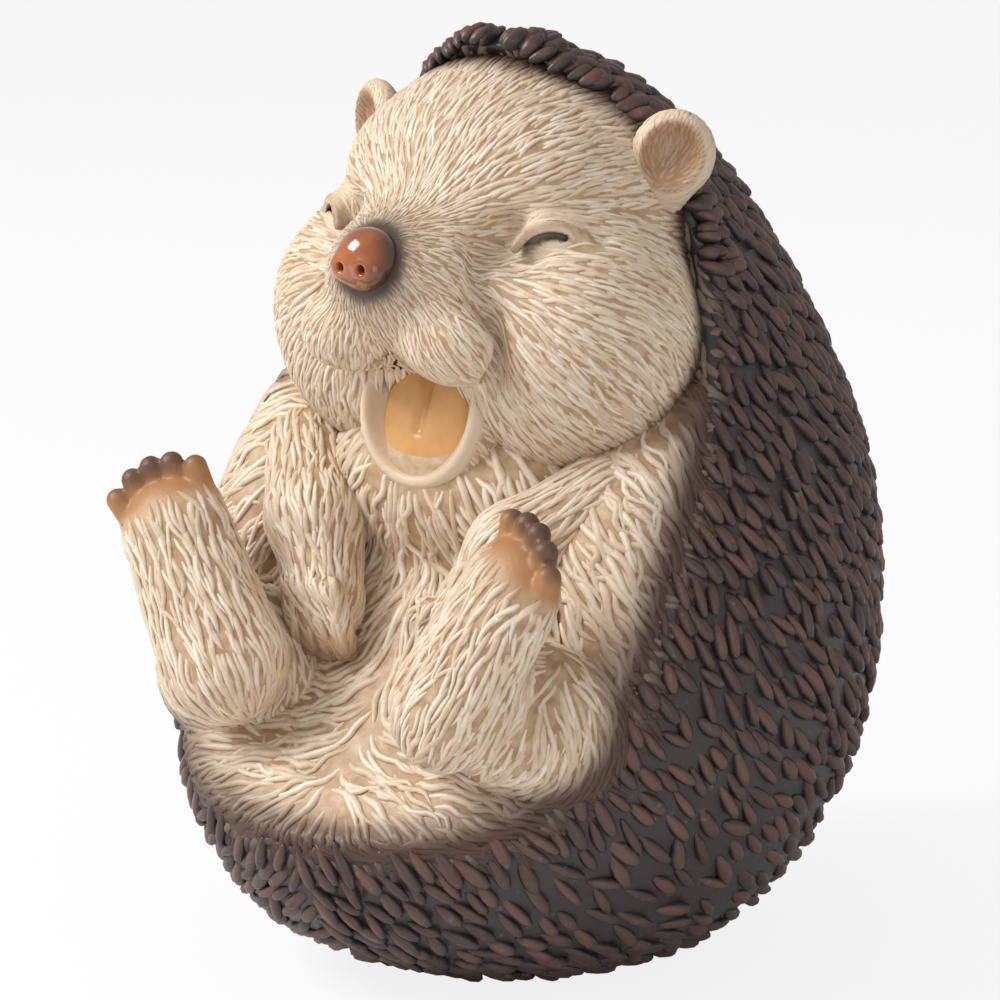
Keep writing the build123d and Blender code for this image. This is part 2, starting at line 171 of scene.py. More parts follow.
def sculpt(form, low, high, cell):
    # The surface where a form's distance is nought, as corners and faces
    low = np.array(low, float)
    counts = np.ceil((np.array(high) - low) / cell).astype(int) + 1
    axes = [low[i] + cell * np.arange(counts[i]) for i in range(3)]
    points = np.stack(np.meshgrid(*axes, indexing="ij"), -1).reshape(-1, 3)
    starts = range(0, len(points), POINTS_AT_ONCE)
    values = np.concatenate([form(points[start:start + POINTS_AT_ONCE]) for start in starts])
    grid = openvdb.FloatGrid(float(values.max()) + 1)
    grid.copyFromArray(values.reshape(counts).astype(np.float32))
    corners, faces = grid.convertToQuads(0.0)
    return settle(form, low + corners * cell), faces.astype(int)


# Meshes

def make_piece(name, corners, faces):
    mesh = bpy.data.meshes.new(name)
    mesh.from_pydata((np.asarray(corners) * MM).tolist(), [], np.asarray(faces).tolist())
    mesh.shade_smooth()
    piece = bpy.data.objects.new(name, mesh)
    bpy.context.collection.objects.link(piece)
    return piece


def add_values(mesh, name, values):
    layer = mesh.attributes.new(name, "FLOAT", "POINT")
    layer.data.foreach_set("value", np.asarray(values, np.float32))


def add_vectors(mesh, name, values):
    layer = mesh.attributes.new(name, "FLOAT_VECTOR", "POINT")
    layer.data.foreach_set("vector", np.asarray(values, np.float32).ravel())


# Node trees: locks of hair swept along their lines, and quills set on their places

# A quill is a ball of a few faces, narrowed to these shares of its width at its root and its tip
QUILL_SIDES = 7
QUILL_RINGS = 6
QUILL_TAPER_SHARES = (0.8, 1.12)


def new_tree(name, sizes):
    tree = bpy.data.node_groups.new(name, "GeometryNodeTree")
    tree.interface.new_socket("Geometry", in_out="INPUT", socket_type="NodeSocketGeometry")
    for size, value in sizes:
        socket = tree.interface.new_socket(size, in_out="INPUT", socket_type="NodeSocketFloat")
        socket.default_value = value
    tree.interface.new_socket("Material", in_out="INPUT", socket_type="NodeSocketMaterial")
    tree.interface.new_socket("Geometry", in_out="OUTPUT", socket_type="NodeSocketGeometry")
    return tree, tree.nodes.new("NodeGroupInput"), tree.nodes.new("NodeGroupOutput")


def named(tree, name, kind):
    node = tree.nodes.new("GeometryNodeInputNamedAttribute")
    node.data_type = kind
    node.inputs["Name"].default_value = name
    return node.outputs["Attribute"]


def finish_tree(tree, geometry, inputs, outputs):
    smooth = tree.nodes.new("GeometryNodeSetShadeSmooth")
    real = tree.nodes.new("GeometryNodeRealizeInstances")
    paint = tree.nodes.new("GeometryNodeSetMaterial")
    tree.links.new(geometry, smooth.inputs["Geometry"])
    tree.links.new(smooth.outputs["Geometry"], real.inputs["Geometry"])
    tree.links.new(real.outputs["Geometry"], paint.inputs["Geometry"])
    tree.links.new(inputs.outputs["Material"], paint.inputs["Material"])
    tree.links.new(paint.outputs["Geometry"], outputs.inputs["Geometry"])


def make_lock_tree():
    # Each line of edges becomes a raised lock: an arc swept along it, wide as its own radius
    tree, inputs, outputs = new_tree("locks", [("Lift", 0.5), ("Profile Points", 3)])
    nodes, link = tree.nodes, tree.links.new
    curve = nodes.new("GeometryNodeMeshToCurve")
    facing = nodes.new("GeometryNodeSetCurveNormal")
    facing.mode = "FREE"
    arc = nodes.new("GeometryNodeCurveArc")
    arc.inputs["Radius"].default_value = 1
    arc.inputs["Start Angle"].default_value = -math.pi / 2
    arc.inputs["Sweep Angle"].default_value = math.pi
    across = nodes.new("GeometryNodeStoreNamedAttribute")
    across.inputs["Name"].default_value = "across"
    share = nodes.new("GeometryNodeSplineParameter")
    lift = nodes.new("ShaderNodeCombineXYZ")
    lift.inputs["Y"].default_value = 1
    lift.inputs["Z"].default_value = 1
    flatten = nodes.new("GeometryNodeTransform")
    sweep = nodes.new("GeometryNodeCurveToMesh")
    link(inputs.outputs["Geometry"], curve.inputs["Mesh"])
    link(curve.outputs["Curve"], facing.inputs["Curve"])
    link(named(tree, "facing", "FLOAT_VECTOR"), facing.inputs["Normal"])
    link(arc.outputs["Curve"], across.inputs["Geometry"])
    link(share.outputs["Factor"], across.inputs["Value"])
    link(inputs.outputs["Profile Points"], arc.inputs["Resolution"])
    link(inputs.outputs["Lift"], lift.inputs["X"])
    link(across.outputs["Geometry"], flatten.inputs["Geometry"])
    link(lift.outputs["Vector"], flatten.inputs["Scale"])
    link(facing.outputs["Curve"], sweep.inputs["Curve"])
    link(flatten.outputs["Geometry"], sweep.inputs["Profile Curve"])
    link(named(tree, "radius", "FLOAT"), sweep.inputs["Scale"])
    finish_tree(tree, sweep.outputs["Mesh"], inputs, outputs)
    return tree


def make_quill_tree():
    # Each place gets a blunt teardrop, with its tip along the place's own direction
    sizes = [("Width", 2.4 * MM), ("Length", 6.4 * MM), ("Height", 1.8 * MM)]
    tree, inputs, outputs = new_tree("quills", sizes)
    nodes, link = tree.nodes, tree.links.new
    ball = nodes.new("GeometryNodeMeshUVSphere")
    ball.inputs["Segments"].default_value = QUILL_SIDES
    ball.inputs["Rings"].default_value = QUILL_RINGS
    ball.inputs["Radius"].default_value = 0.5
    lay = nodes.new("GeometryNodeTransform")
    lay.inputs["Rotation"].default_value = (math.pi / 2, 0, 0)
    place = nodes.new("GeometryNodeInputPosition")
    split = nodes.new("ShaderNodeSeparateXYZ")
    taper = nodes.new("ShaderNodeMapRange")
    taper.inputs["From Min"].default_value = -0.5
    taper.inputs["From Max"].default_value = 0.5
    taper.inputs["To Min"].default_value = QUILL_TAPER_SHARES[0]
    taper.inputs["To Max"].default_value = QUILL_TAPER_SHARES[1]
    spread = nodes.new("ShaderNodeCombineXYZ")
    spread.inputs["Y"].default_value = 1
    shaped = nodes.new("ShaderNodeVectorMath")
    shaped.operation = "MULTIPLY"
    move = nodes.new("GeometryNodeSetPosition")
    crest = nodes.new("GeometryNodeStoreNamedAttribute")
    crest.inputs["Name"].default_value = "crest"
    scale = nodes.new("ShaderNodeCombineXYZ")
    resize = nodes.new("GeometryNodeTransform")
    turn = nodes.new("FunctionNodeAxesToRotation")
    turn.primary_axis = "Z"
    turn.secondary_axis = "Y"
    scatter = nodes.new("GeometryNodeInstanceOnPoints")
    points = nodes.new("GeometryNodeMeshToPoints")
    link(ball.outputs["Mesh"], lay.inputs["Geometry"])
    link(place.outputs["Position"], split.inputs["Vector"])
    link(split.outputs["Y"], taper.inputs["Value"])
    link(taper.outputs["Result"], spread.inputs["X"])
    link(taper.outputs["Result"], spread.inputs["Z"])
    link(place.outputs["Position"], shaped.inputs[0])
    link(spread.outputs["Vector"], shaped.inputs[1])
    link(lay.outputs["Geometry"], crest.inputs["Geometry"])
    link(split.outputs["Z"], crest.inputs["Value"])
    link(crest.outputs["Geometry"], move.inputs["Geometry"])
    link(shaped.outputs["Vector"], move.inputs["Position"])
    link(inputs.outputs["Width"], scale.inputs["X"])
    link(inputs.outputs["Length"], scale.inputs["Y"])
    link(inputs.outputs["Height"], scale.inputs["Z"])
    link(move.outputs["Geometry"], resize.inputs["Geometry"])
    link(scale.outputs["Vector"], resize.inputs["Scale"])
    link(named(tree, "facing", "FLOAT_VECTOR"), turn.inputs["Primary Axis"])
    link(named(tree, "tip_way", "FLOAT_VECTOR"), turn.inputs["Secondary Axis"])
    link(inputs.outputs["Geometry"], points.inputs["Mesh"])
    link(points.outputs["Points"], scatter.inputs["Points"])
    link(resize.outputs["Geometry"], scatter.inputs["Instance"])
    link(turn.outputs["Rotation"], scatter.inputs["Rotation"])
    link(named(tree, "size", "FLOAT_VECTOR"), scatter.inputs["Scale"])
    finish_tree(tree, scatter.outputs["Instances"], inputs, outputs)
    return tree


def grown(name, mesh, tree, settings):
    # The tree's result as a plain mesh
    source = bpy.data.objects.new(name + "_source", mesh)
    bpy.context.collection.objects.link(source)
    modifier = source.modifiers.new("grow", "NODES")
    modifier.node_group = tree
    for socket in tree.interface.items_tree:
        if socket.name in settings and socket.in_out == "INPUT":
            modifier[socket.identifier] = settings[socket.name]
    source.update_tag()
    depsgraph = bpy.context.evaluated_depsgraph_get()
    result = bpy.data.meshes.new_from_object(source.evaluated_get(depsgraph))
    bpy.data.objects.remove(source)
    piece = bpy.data.objects.new(name, result)
    bpy.context.collection.objects.link(piece)
    return piece


# Hair: lines that follow a form's surface along a flow

# Shares of a lock's length, and there of its width and of its rise over the surface
LOCK_SHARES = [0, 0.2, 0.45, 0.7, 0.88, 1]
WIDTH_SHARES = [0.5, 0.95, 1.0, 0.8, 0.5, 0.1]
RISE_SHARES = [-0.25, 0.0, 0.1, 0.12, 0.04, -0.15]
# The shortest and longest, narrowest and widest lock, as shares of the part's own
LENGTH_SPREAD_SHARES = (0.7, 1.3)
WIDTH_SPREAD_SHARES = (0.75, 1.25)
# Roots are moved by up to this much before they are thinned out
ROOT_SCATTER = 0.5
# Angles by which a lock's wave goes on from one station to the next, and with which it begins
WAVE_PACE = 1.1
WAVE_START = 0.6


def random_stream(number):
    # Each piece draws from its own stream, so that one can change without the others
    return np.random.default_rng(SEED + number)


def spread_out(points, ways, long_gaps, side_gaps, rng):
    # Places taken one by one, each clear of the others by one gap along its way and another across it
    kept = np.zeros(points.shape)
    chosen = []
    for i in rng.permutation(len(points)):
        away = kept[:len(chosen)] - points[i]
        along = away @ ways[i]
        across = (away * away).sum(-1) - along ** 2
        if not ((along / long_gaps[i]) ** 2 + across / side_gaps[i] ** 2 < 1).any():
            kept[len(chosen)] = points[i]
            chosen.append(i)
    return np.array(chosen)


def no_growth(points):
    return np.ones(len(points))


def laid_flat(ways, facing):
    # Ways made to lie along the surface that they stand on
    return unit(ways - (ways * facing).sum(-1, keepdims=True) * facing)


def lay_roots(points, form, flow, gaps, stream, growth=no_growth):
    # Hair roots, close side by side and further apart along the flow
    rng = random_stream(stream)
    points = np.concatenate([points, points])
    points = settle(form, points + rng.uniform(-ROOT_SCATTER, ROOT_SCATTER, points.shape))
    ways = laid_flat(flow(points), unit(gradient(form, points)))
    long_gap, side_gap = gaps
    size = growth(points)
    return points[spread_out(points, ways, long_gap * size, side_gap * size, rng)]


def turned(vectors, axes, angles):
    # Vectors at right angles to their axes, turned about them
    cosine, sine = np.cos(angles)[:, None], np.sin(angles)[:, None]
    return vectors * cosine + np.cross(axes, vectors) * sine


def trace_locks(form, roots, flow, lengths, stations, wander, wave, rng):
    # Where each lock's stations lie and face; a lock swings off the flow and waves about it
    swing = np.radians(rng.normal(0, wander, len(roots)))
    bend = np.radians(rng.normal(0, wave, len(roots)))
    stride = (lengths / (stations - 1))[:, None]
    places, facings = [], []
    points = roots
    for station in range(stations):
        points, slope = step_onto(form, points)
        facing = unit(slope)
        places.append(points)
        facings.append(facing)
        way = laid_flat(flow(points), facing)
        way = turned(way, facing, swing + bend * math.sin(WAVE_PACE * station + WAVE_START))
        points = points + way * stride
    return np.stack(places, 1), np.stack(facings, 1)


def grow_locks(name, form, roots, flow, masks, stream, length, width, lift=0.5, rise=0.6, wander=7.0,
               wave=6.0, stations=5, profile=3, growth=no_growth):
    # A lock from each root, as one mesh; wander and wave are in degrees
    rng = random_stream(stream)
    count = len(roots)
    size = growth(roots)
    lengths = length * size * rng.uniform(*LENGTH_SPREAD_SHARES, count)
    widths = width / 2 * size * rng.uniform(*WIDTH_SPREAD_SHARES, count)
    places, facings = trace_locks(form, roots, flow, lengths, stations, wander, wave, rng)
    shares = np.linspace(0, 1, stations)
    radii = widths[:, None] * np.interp(shares, LOCK_SHARES, WIDTH_SHARES)
    heights = rise * np.interp(shares, LOCK_SHARES, RISE_SHARES)
    corners = (places + facings * heights[None, :, None]).reshape(-1, 3)
    first = np.arange(count * stations).reshape(count, stations)
    edges = np.stack([first[:, :-1].ravel(), first[:, 1:].ravel()], -1)
    mesh = bpy.data.meshes.new(name)
    mesh.from_pydata((corners * MM).tolist(), edges.tolist(), [])
    add_vectors(mesh, "facing", facings.reshape(-1, 3))
    add_values(mesh, "radius", radii.ravel() * MM)
    add_values(mesh, "tone", np.repeat(rng.uniform(0, 1, count), stations))
    for mask, values in masks(corners).items():
        add_values(mesh, mask, values)
    settings = {"Lift": lift, "Profile Points": float(profile), "Material": fur_locks}
    return grown(name, mesh, lock_tree, settings)


lock_tree = make_lock_tree()
quill_tree = make_quill_tree()


# The head: skull, brow, cheeks and muzzle flow into one another
# Rounded forms are given by their middle, radii and turn, grooves by their two ends and radii there
# A grid is given by the low and high corner of the space that holds a form, and by its cell

HEAD_GRID = ((-50, -56, 84), (50, 40, 170), 0.75)
SKULL = ((0, 1.5, 133.5), (32, 32.5, 31))
BROW = ((0, -13, 145), (23, 12, 10))
CHEEK = ((19.5, -9, 114), (21.5, 23, 22))
CHEEKBONE = ((24, -13, 121), (15, 16, 15))
MUZZLE = ((0, -26, 126), (17.5, 20, 14), (-18, 0, 0))
LIP = ((9.6, -32.4, 119.4), (11.4, 9.8, 8.4), (0, 16, -24))
LIP_CLEFT = ((0, -47, 126), (0, -42.5, 110), 0.7, 1.5)
MOUTH = ((0, -33, 105.5), (11.6, 9.5, 14), (-20, 0, 0))

# An eye in its socket; its closed line lies ahead of it, with the lid above and the fold over the lid
EYE_TURN = (0, 0, 42.0)
EYE_SOCKET = ((20, -29.5, 137), (6.5, 5.5, 4.5), EYE_TURN)
EYE_MIDDLE = (21.5, -20.5, 135.5)
EYE = (EYE_MIDDLE, (6.6, 4.2, 4.6), EYE_TURN)
EYE_FACING = (0.669, -0.743)
LINE_AHEAD = 3.7
LINE_HEIGHT = 131.2
LINE_MIDDLE = (
    EYE_MIDDLE[0] + LINE_AHEAD * EYE_FACING[0],
    EYE_MIDDLE[1] + LINE_AHEAD * EYE_FACING[1],
    LINE_HEIGHT,
)
LINE_HALF_ANGLE = math.radians(62)
LINE_RADIUS = 5.4
LINE_DEPTH = 0.65
LID_RADIUS = LINE_RADIUS + 1.7
LID_SWELL = 1.0
FOLD_RADIUS = LINE_RADIUS + 4.3
FOLD_DEPTH = 0.5

# The crease runs from the inner corner of an eye down to the corner of the mouth
CREASE_PLACES = [
    (17.5, -28, 138),
    (14.5, -31, 133),
    (14, -33, 128),
    (17.5, -32, 121),
    (18.8, -28.5, 113.5),
]
CREASE_DEPTH = 1.5


def head_distance(points):
    half = mirrored(points)
    form = egg(half, *SKULL)
    form = join(form, egg(half, *BROW), blend=8)
    form = join(form, egg(half, *CHEEK), blend=8)
    form = join(form, egg(half, *CHEEKBONE), blend=7)
    form = join(form, egg(half, *MUZZLE), blend=7)
    form = carve(form, egg(half, *EYE_SOCKET), blend=4)
    return join(form, egg(half, *EYE), blend=2)


crease_path = settle(head_distance, np.array(CREASE_PLACES, float), rounds=4)


def eye_arc(half, radius, thickness):
    return arc_rod(half, LINE_MIDDLE, EYE_TURN, radius, LINE_HALF_ANGLE, thickness)


def add_face(form, half):
    # Lip pads that hang over the mouth, the cleft between them, the creases and the lids
    form = join(form, egg(half, *LIP), blend=2.2)
    form = carve(form, rod(half, *LIP_CLEFT), blend=2.4)
    form = carve(form, chain(half, crease_path, CREASE_DEPTH), blend=4)
    form = join(form, eye_arc(half, LID_RADIUS, LID_SWELL), blend=1.2)
    return carve(form, eye_arc(half, FOLD_RADIUS, FOLD_DEPTH), blend=1.6)


def face_distance(points):
    # The head under its hair, with the mouth still shut
    return add_face(head_distance(points), mirrored(points))


def open_head_distance(points):
    # The head with its mouth open and the eyes' lines cut in
    half = mirrored(points)
    form = carve(head_distance(points), egg(half, *MOUTH), blend=1.5)
    return carve(add_face(form, half), eye_arc(half, LINE_RADIUS, LINE_DEPTH), blend=0.5)


# The lower jaw: a lip ring round the mouth, over a soft chin

JAW_GRID = ((-17, -42, 84), (17, -8, 122), 0.5)
JAW = ((0, -24.5, 103.5), (14.6, 11.5, 15.4), (-12, 0, 0))
TONGUE_GRID = ((-12, -38, 86), (12, -14, 118), 0.5)
TONGUE = ((0, -26.5, 102), (10, 3.2, 13), (-14, 0, 0))
TONGUE_GROOVE = ((0, -25.9, 113), (0, -30.1, 101), 1.6, 0.7)


def chin_distance(points):
    return egg(points, *JAW)


def jaw_distance(points):
    return carve(chin_distance(points), egg(points, *MOUTH), blend=2.2)


def tongue_distance(points):
    return carve(egg(points, *TONGUE), rod(points, *TONGUE_GROOVE), blend=1.6)


# The nose, with its wings, nostrils and the shallow groove between them

NOSE_GRID = ((-9, -54, 123), (9, -34, 142), 0.35)
NOSE_MIDDLE = (0, -43.3, 132.6)
NOSE = (NOSE_MIDDLE, (5.9, 5.3, 5.7))
NOSE_WING = ((2.8, -46.6, 131.6), (2.5, 2.1, 2.3))
NOSTRIL = ((2.5, -50.5, 131.4), (2.1, -46.5, 132.2), 1.0, 0.6)
NOSE_GROOVE = ((0, -50, 136), (0, -49.4, 127), 0.45, 0.45)


def nose_distance(points):
    half = mirrored(points)
    form = join(egg(half, *NOSE), egg(half, *NOSE_WING), blend=1.5)
    form = carve(form, rod(half, *NOSTRIL), blend=0.7)
    return carve(form, rod(half, *NOSE_GROOVE), blend=1.1)


# Ears, dished to the front

EAR_GRID = ((20, -8, 134), (44, 10, 162), 0.5)
EAR_MIDDLE = np.array([32.5, 0.5, 148.5])
EAR_TURN = (0, 22, 30)
EAR_SPIN = math.radians(EAR_TURN[2])
EAR_FACING = np.array([math.sin(EAR_SPIN), -math.cos(EAR_SPIN), 0])
EAR = (EAR_MIDDLE, (7.2, 3.9, 7.8), EAR_TURN)
DISH_AHEAD = 3.9
EAR_DISH = (EAR_MIDDLE + DISH_AHEAD * EAR_FACING, (5.3, 4.6, 6.1), EAR_TURN)
EAR_ROOT = ((30, 2, 142), (4, 3.4, 5), EAR_TURN)


def ear_distance(points):
    form = carve(egg(points, *EAR), egg(points, *EAR_DISH), blend=1.0)
    return join(form, egg(points, *EAR_ROOT), blend=3)


# Belly and chest, with the flanks beside the haunches and the lap under them

BELLY_GRID = ((-62, -68, 8), (62, 40, 108), 1.2)
BELLY_ROWS = [
    # Height, half width, half depth and middle
    (16, 44, 40, -12),
    (27.7, 52, 46, -12.8),
    (37, 53.4, 40, -13.6),
    (51.9, 53.9, 24.8, -16.8),
    (62.8, 55, 17.6, -17.6),
    (78.4, 53.4, 16.8, -7.2),
    (94, 50.6, 20, 0),
]
BELLY_BOTTOM = BELLY_ROWS[0][0]
BELLY_TOP = BELLY_ROWS[-1][0]
FLANK = ((37, -13, 73), (16, 20, 25))
CHEST = ((0, -20, 90), (24, 12, 14))
LAP = ((0, -26, 36), (45, 27, 20))
# The hem is a band that joins the belly to the coat's edge: how far under the coat's outside it lies,
# how far it reaches in front of the edge and behind it, and how low it goes
HEM_UNDER = (2.4, 8)
HEM_AHEAD = 2
HEM_BEHIND = 4
HEM_BOTTOM = 14
BELLY_SINK = 2.2


def belly_distance(points):
    half = mirrored(points)
    height = half[..., 2]
    form = oval_tube(half, *(through(BELLY_ROWS, height, column) for column in (1, 2, 3)))
    form = np.maximum(form, np.maximum(BELLY_BOTTOM - height, height - BELLY_TOP))
    for swelling in (FLANK, CHEST, LAP):
        form = join(form, egg(half, *swelling), blend=8)
    outside, edge = coat_outside(half), front_distance(half)
    hem = np.maximum.reduce([
        outside + HEM_UNDER[0],
        -outside - HEM_UNDER[1],
        -edge - HEM_AHEAD,
        edge - HEM_BEHIND,
        HEM_BOTTOM - height,
    ])
    return carve(join(form, hem, blend=14), -(outside + BELLY_SINK), blend=1.5)


# Arms from the shoulder to the paw, on the left side

ARM_GRID = ((4, -48, 50), (46, -4, 104), 0.7)
SHOULDER = (33, -19, 90)
ELBOW = (22.5, -31, 82)
WRIST = (18.5, -34, 75)
SHOULDER_RADIUS = 9
ELBOW_RADIUS = 8
WRIST_RADIUS = 7
PAW = (15.5, -36.5, 68.5)
PAW_RADII = (7.2, 4.9, 7.0)
PAW_TURN = (0, -12, 0)
FINGERS = 4
FINGER_PITCH = 3.5
FINGER_RADIUS = 2.0
# From the paw's middle to the knuckles and to the tips; the knuckles stand a little closer together
KNUCKLE_WAY = (0, -4.2, 4)
KNUCKLE_SPREAD_SHARE = 0.85
TIP_WAY = (-1.2, -2.8, -7.6)
# The longest finger, counted from nought, and how much shorter each next one is
LONGEST_FINGER = 1.2
FINGER_DROP = 0.7


def arm_distance(points):
    upper = rod(points, SHOULDER, ELBOW, SHOULDER_RADIUS, ELBOW_RADIUS)
    fore = rod(points, ELBOW, WRIST, ELBOW_RADIUS, WRIST_RADIUS)
    form = join(join(upper, fore, blend=4), egg(points, PAW, PAW_RADII, PAW_TURN), blend=5)
    for i in range(FINGERS):
        spread = (i - (FINGERS - 1) / 2) * FINGER_PITCH
        shorter = FINGER_DROP * abs(i - LONGEST_FINGER)
        tip = (PAW[0] + TIP_WAY[0] + spread, PAW[1] + TIP_WAY[1], PAW[2] + TIP_WAY[2] + shorter)
        knuckle = (PAW[0] + spread * KNUCKLE_SPREAD_SHARE, PAW[1] + KNUCKLE_WAY[1], PAW[2] + KNUCKLE_WAY[2])
        form = join(form, rod(points, knuckle, tip, FINGER_RADIUS, FINGER_RADIUS), blend=0.5)
    return form


# Hind legs: haunch, drawn-up shank and foot with its toes, on the left side

LEG_GRID = ((10, -70, 34), (62, -20, 106), 0.7)
HAUNCH = ((33, -38, 54), (17, 14.5, 15.5))
KNEE = np.array([24.8, -54, 60.5])
FOOT = np.array([37, -52, 81.5])
SHANK_RADII = (11.4, 9.6)
SHANK_FLATNESS = 0.74
SHANK_SPIN = math.radians(-25)
TOES = 5
# Toes start past the foot, fan out to their tips, lean back a little and lie on an arch
TOE_START = 7.2
TOE_LENGTH = 4.8
TOE_PITCHES = (3.5, 3.9)
TOE_BACKS = (0.8, -1.2)
TOE_RADII = (2.3, 2.1)
TOE_ARCH = 0.75

shank_length = np.linalg.norm(FOOT - KNEE)
shank_along = unit(FOOT - KNEE)
side_way = unit(np.array([shank_along[2], 0, -shank_along[0]]))
back_way = np.cross(shank_along, side_way)
shank_across = math.cos(SHANK_SPIN) * side_way + math.sin(SHANK_SPIN) * back_way
shank_back = np.cross(shank_along, shank_across)


def shank_local(points):
    # Places across, through and along the shank, counted from the knee
    return (points - KNEE) @ np.stack([shank_across, shank_back, shank_along], -1)


def leg_distance(points):
    local = shank_local(points)
    stretched = local / np.array([1, SHANK_FLATNESS, 1])
    shank = rod(stretched, (0, 0, 0), (0, 0, shank_length), *SHANK_RADII) * SHANK_FLATNESS
    form = join(egg(points, *HAUNCH), shank, blend=5)
    for i in range(TOES):
        spread = i - TOES // 2
        start = (spread * TOE_PITCHES[0], TOE_BACKS[0], shank_length + TOE_START - TOE_ARCH * spread ** 2)
        tip = (spread * TOE_PITCHES[1], TOE_BACKS[1], start[2] + TOE_LENGTH)
        form = join(form, rod(local, start, tip, *TOE_RADII), blend=0.8)
    return form


# The coat: rows of its height, half width, half depth and middle

COAT_GRID = ((-64, -70, 0), (64, 80, 169), 1.2)
COAT_ROWS = [
    (0, 26.1, 27.0, 0),
    (4.0, 35.9, 38.2, 1.0),
    (10.0, 44.1, 50.0, 0),
    (24.9, 54.5, 64.0, 0.5),
    (47.8, 60.8, 70.6, 2.0),
    (69.6, 59.6, 72.0, 4.3),
    (89.5, 54.1, 69.1, 6.5),
    (108.4, 46.5, 63.4, 5.8),
    (127.3, 38.5, 49.7, 6.0),
    (145.1, 30.4, 36.7, 2.0),
    (159.0, 19.5, 19.4, -1.4),
    (167.0, 6.5, 6.0, -6.0),
]
OPENING_ROWS = [
    # Height and the opening's edge
    (0, -72),
    (30.9, -69.1),
    (34.2, -56.9),
    (38.4, -49.7),
    (45.9, -43.2),
    (53.4, -38.5),
    (61.8, -33.8),
    (77.7, -25),
    (93.5, -14),
    (109.4, -2.9),
    (127.3, 5),
    (145.3, 6),
    (157, 0),
    (167, -9.4),
]
COAT_TOP = COAT_ROWS[-1][0]
COAT_BOTTOM = 1.0
COAT_WALL = 6.0
# Between these heights the wall grows thicker, behind the head
COAT_THICKENING = 8.0
THICKENING_HEIGHTS = (60, 115)
QUILL_SINK = 1.7


def coat_ring(height):
    return [through(COAT_ROWS, height, column) for column in (1, 2, 3)]


def coat_surface(height, turn):
    wide, deep, middle = coat_ring(height)
    return np.stack([wide * np.sin(turn), middle - deep * np.cos(turn), height + COAT_BOTTOM], -1)


def opening_edge(height):
    return np.interp(height, [row[0] for row in OPENING_ROWS], [row[1] for row in OPENING_ROWS])


def opening_turn(height):
    _wide, deep, middle = coat_ring(height)
    return np.arccos(np.clip((middle - opening_edge(height)) / deep, -1, 1))


def front_distance(points):
    # Less than nought in front of the opening's edge, as seen from the side
    height, y = points[..., 2] - COAT_BOTTOM, points[..., 1]
    gap = np.full(height.shape, np.inf)
    for (low, low_y), (high, high_y) in zip(OPENING_ROWS, OPENING_ROWS[1:]):
        rise, run = high - low, high_y - low_y
        share = np.clip(((height - low) * rise + (y - low_y) * run) / (rise * rise + run * run), 0, 1)
        gap = np.minimum(gap, np.hypot(height - low - share * rise, y - low_y - share * run))
    return np.where(y < opening_edge(height), -gap, gap)


def coat_outside(points):
    height = points[..., 2] - COAT_BOTTOM
    return np.maximum(oval_tube(points, *coat_ring(height)), np.maximum(-height, height - COAT_TOP))


def coat_distance(points):
    # A thick shell under the quills, whose edge rolls in round the opening
    outside = coat_outside(points) + QUILL_SINK
    thickness = COAT_WALL + COAT_THICKENING * smooth_step(*THICKENING_HEIGHTS, points[..., 2])
    return carve(np.maximum(outside, -outside - thickness), front_distance(points), blend=2)


# Paint

def new_material(name):
    material = bpy.data.materials.new(name)
    material.use_nodes = True
    return material, material.node_tree.nodes, material.node_tree.links.new


def new_group(name, inputs, outputs):
    # A shader effect with named inputs and outputs, used by more than one material
    group = bpy.data.node_groups.new(name, "ShaderNodeTree")
    for in_out, sockets in (("INPUT", inputs), ("OUTPUT", outputs)):
        for socket_name, kind in sockets:
            group.interface.new_socket(socket_name, in_out=in_out, socket_type="NodeSocket" + kind)
    return group, group.nodes.new("NodeGroupInput"), group.nodes.new("NodeGroupOutput")


def placed(nodes, link, group, values):
    node = nodes.new("ShaderNodeGroup")
    node.node_tree = group
    for socket_name, value in values.items():
        if isinstance(value, bpy.types.NodeSocket):
            link(value, node.inputs[socket_name])
        else:
            node.inputs[socket_name].default_value = value
    return node.outputs[0]


def mask_value(nodes, name):
    node = nodes.new("ShaderNodeAttribute")
    node.attribute_name = name
    return node.outputs["Fac"]


def mixed(nodes, link, share, first, second, blend="MIX"):
    mix = nodes.new("ShaderNodeMix")
    mix.data_type = "RGBA"
    mix.blend_type = blend
    if isinstance(share, float):
        mix.inputs["Factor"].default_value = share
    else:
        link(share, mix.inputs["Factor"])
    for socket, value in ((mix.inputs["A"], first), (mix.inputs["B"], second)):
        if isinstance(value, tuple):
            socket.default_value = (*value, 1)
        else:
            link(value, socket)
    return mix.outputs["Result"]


def mapped(nodes, link, value, low, high, to_low=0.0, to_high=1.0):
    node = nodes.new("ShaderNodeMapRange")
    node.inputs["From Min"].default_value = low
    node.inputs["From Max"].default_value = high
    node.inputs["To Min"].default_value = to_low
    node.inputs["To Max"].default_value = to_high
    link(value, node.inputs["Value"])
    return node.outputs["Result"]


def noise(nodes, link, size, detail=3.0):
    place = nodes.new("ShaderNodeTexCoord")
    node = nodes.new("ShaderNodeTexNoise")
    node.inputs["Scale"].default_value = size
    node.inputs["Detail"].default_value = detail
    link(place.outputs["Object"], node.inputs["Vector"])
    return node.outputs["Fac"]


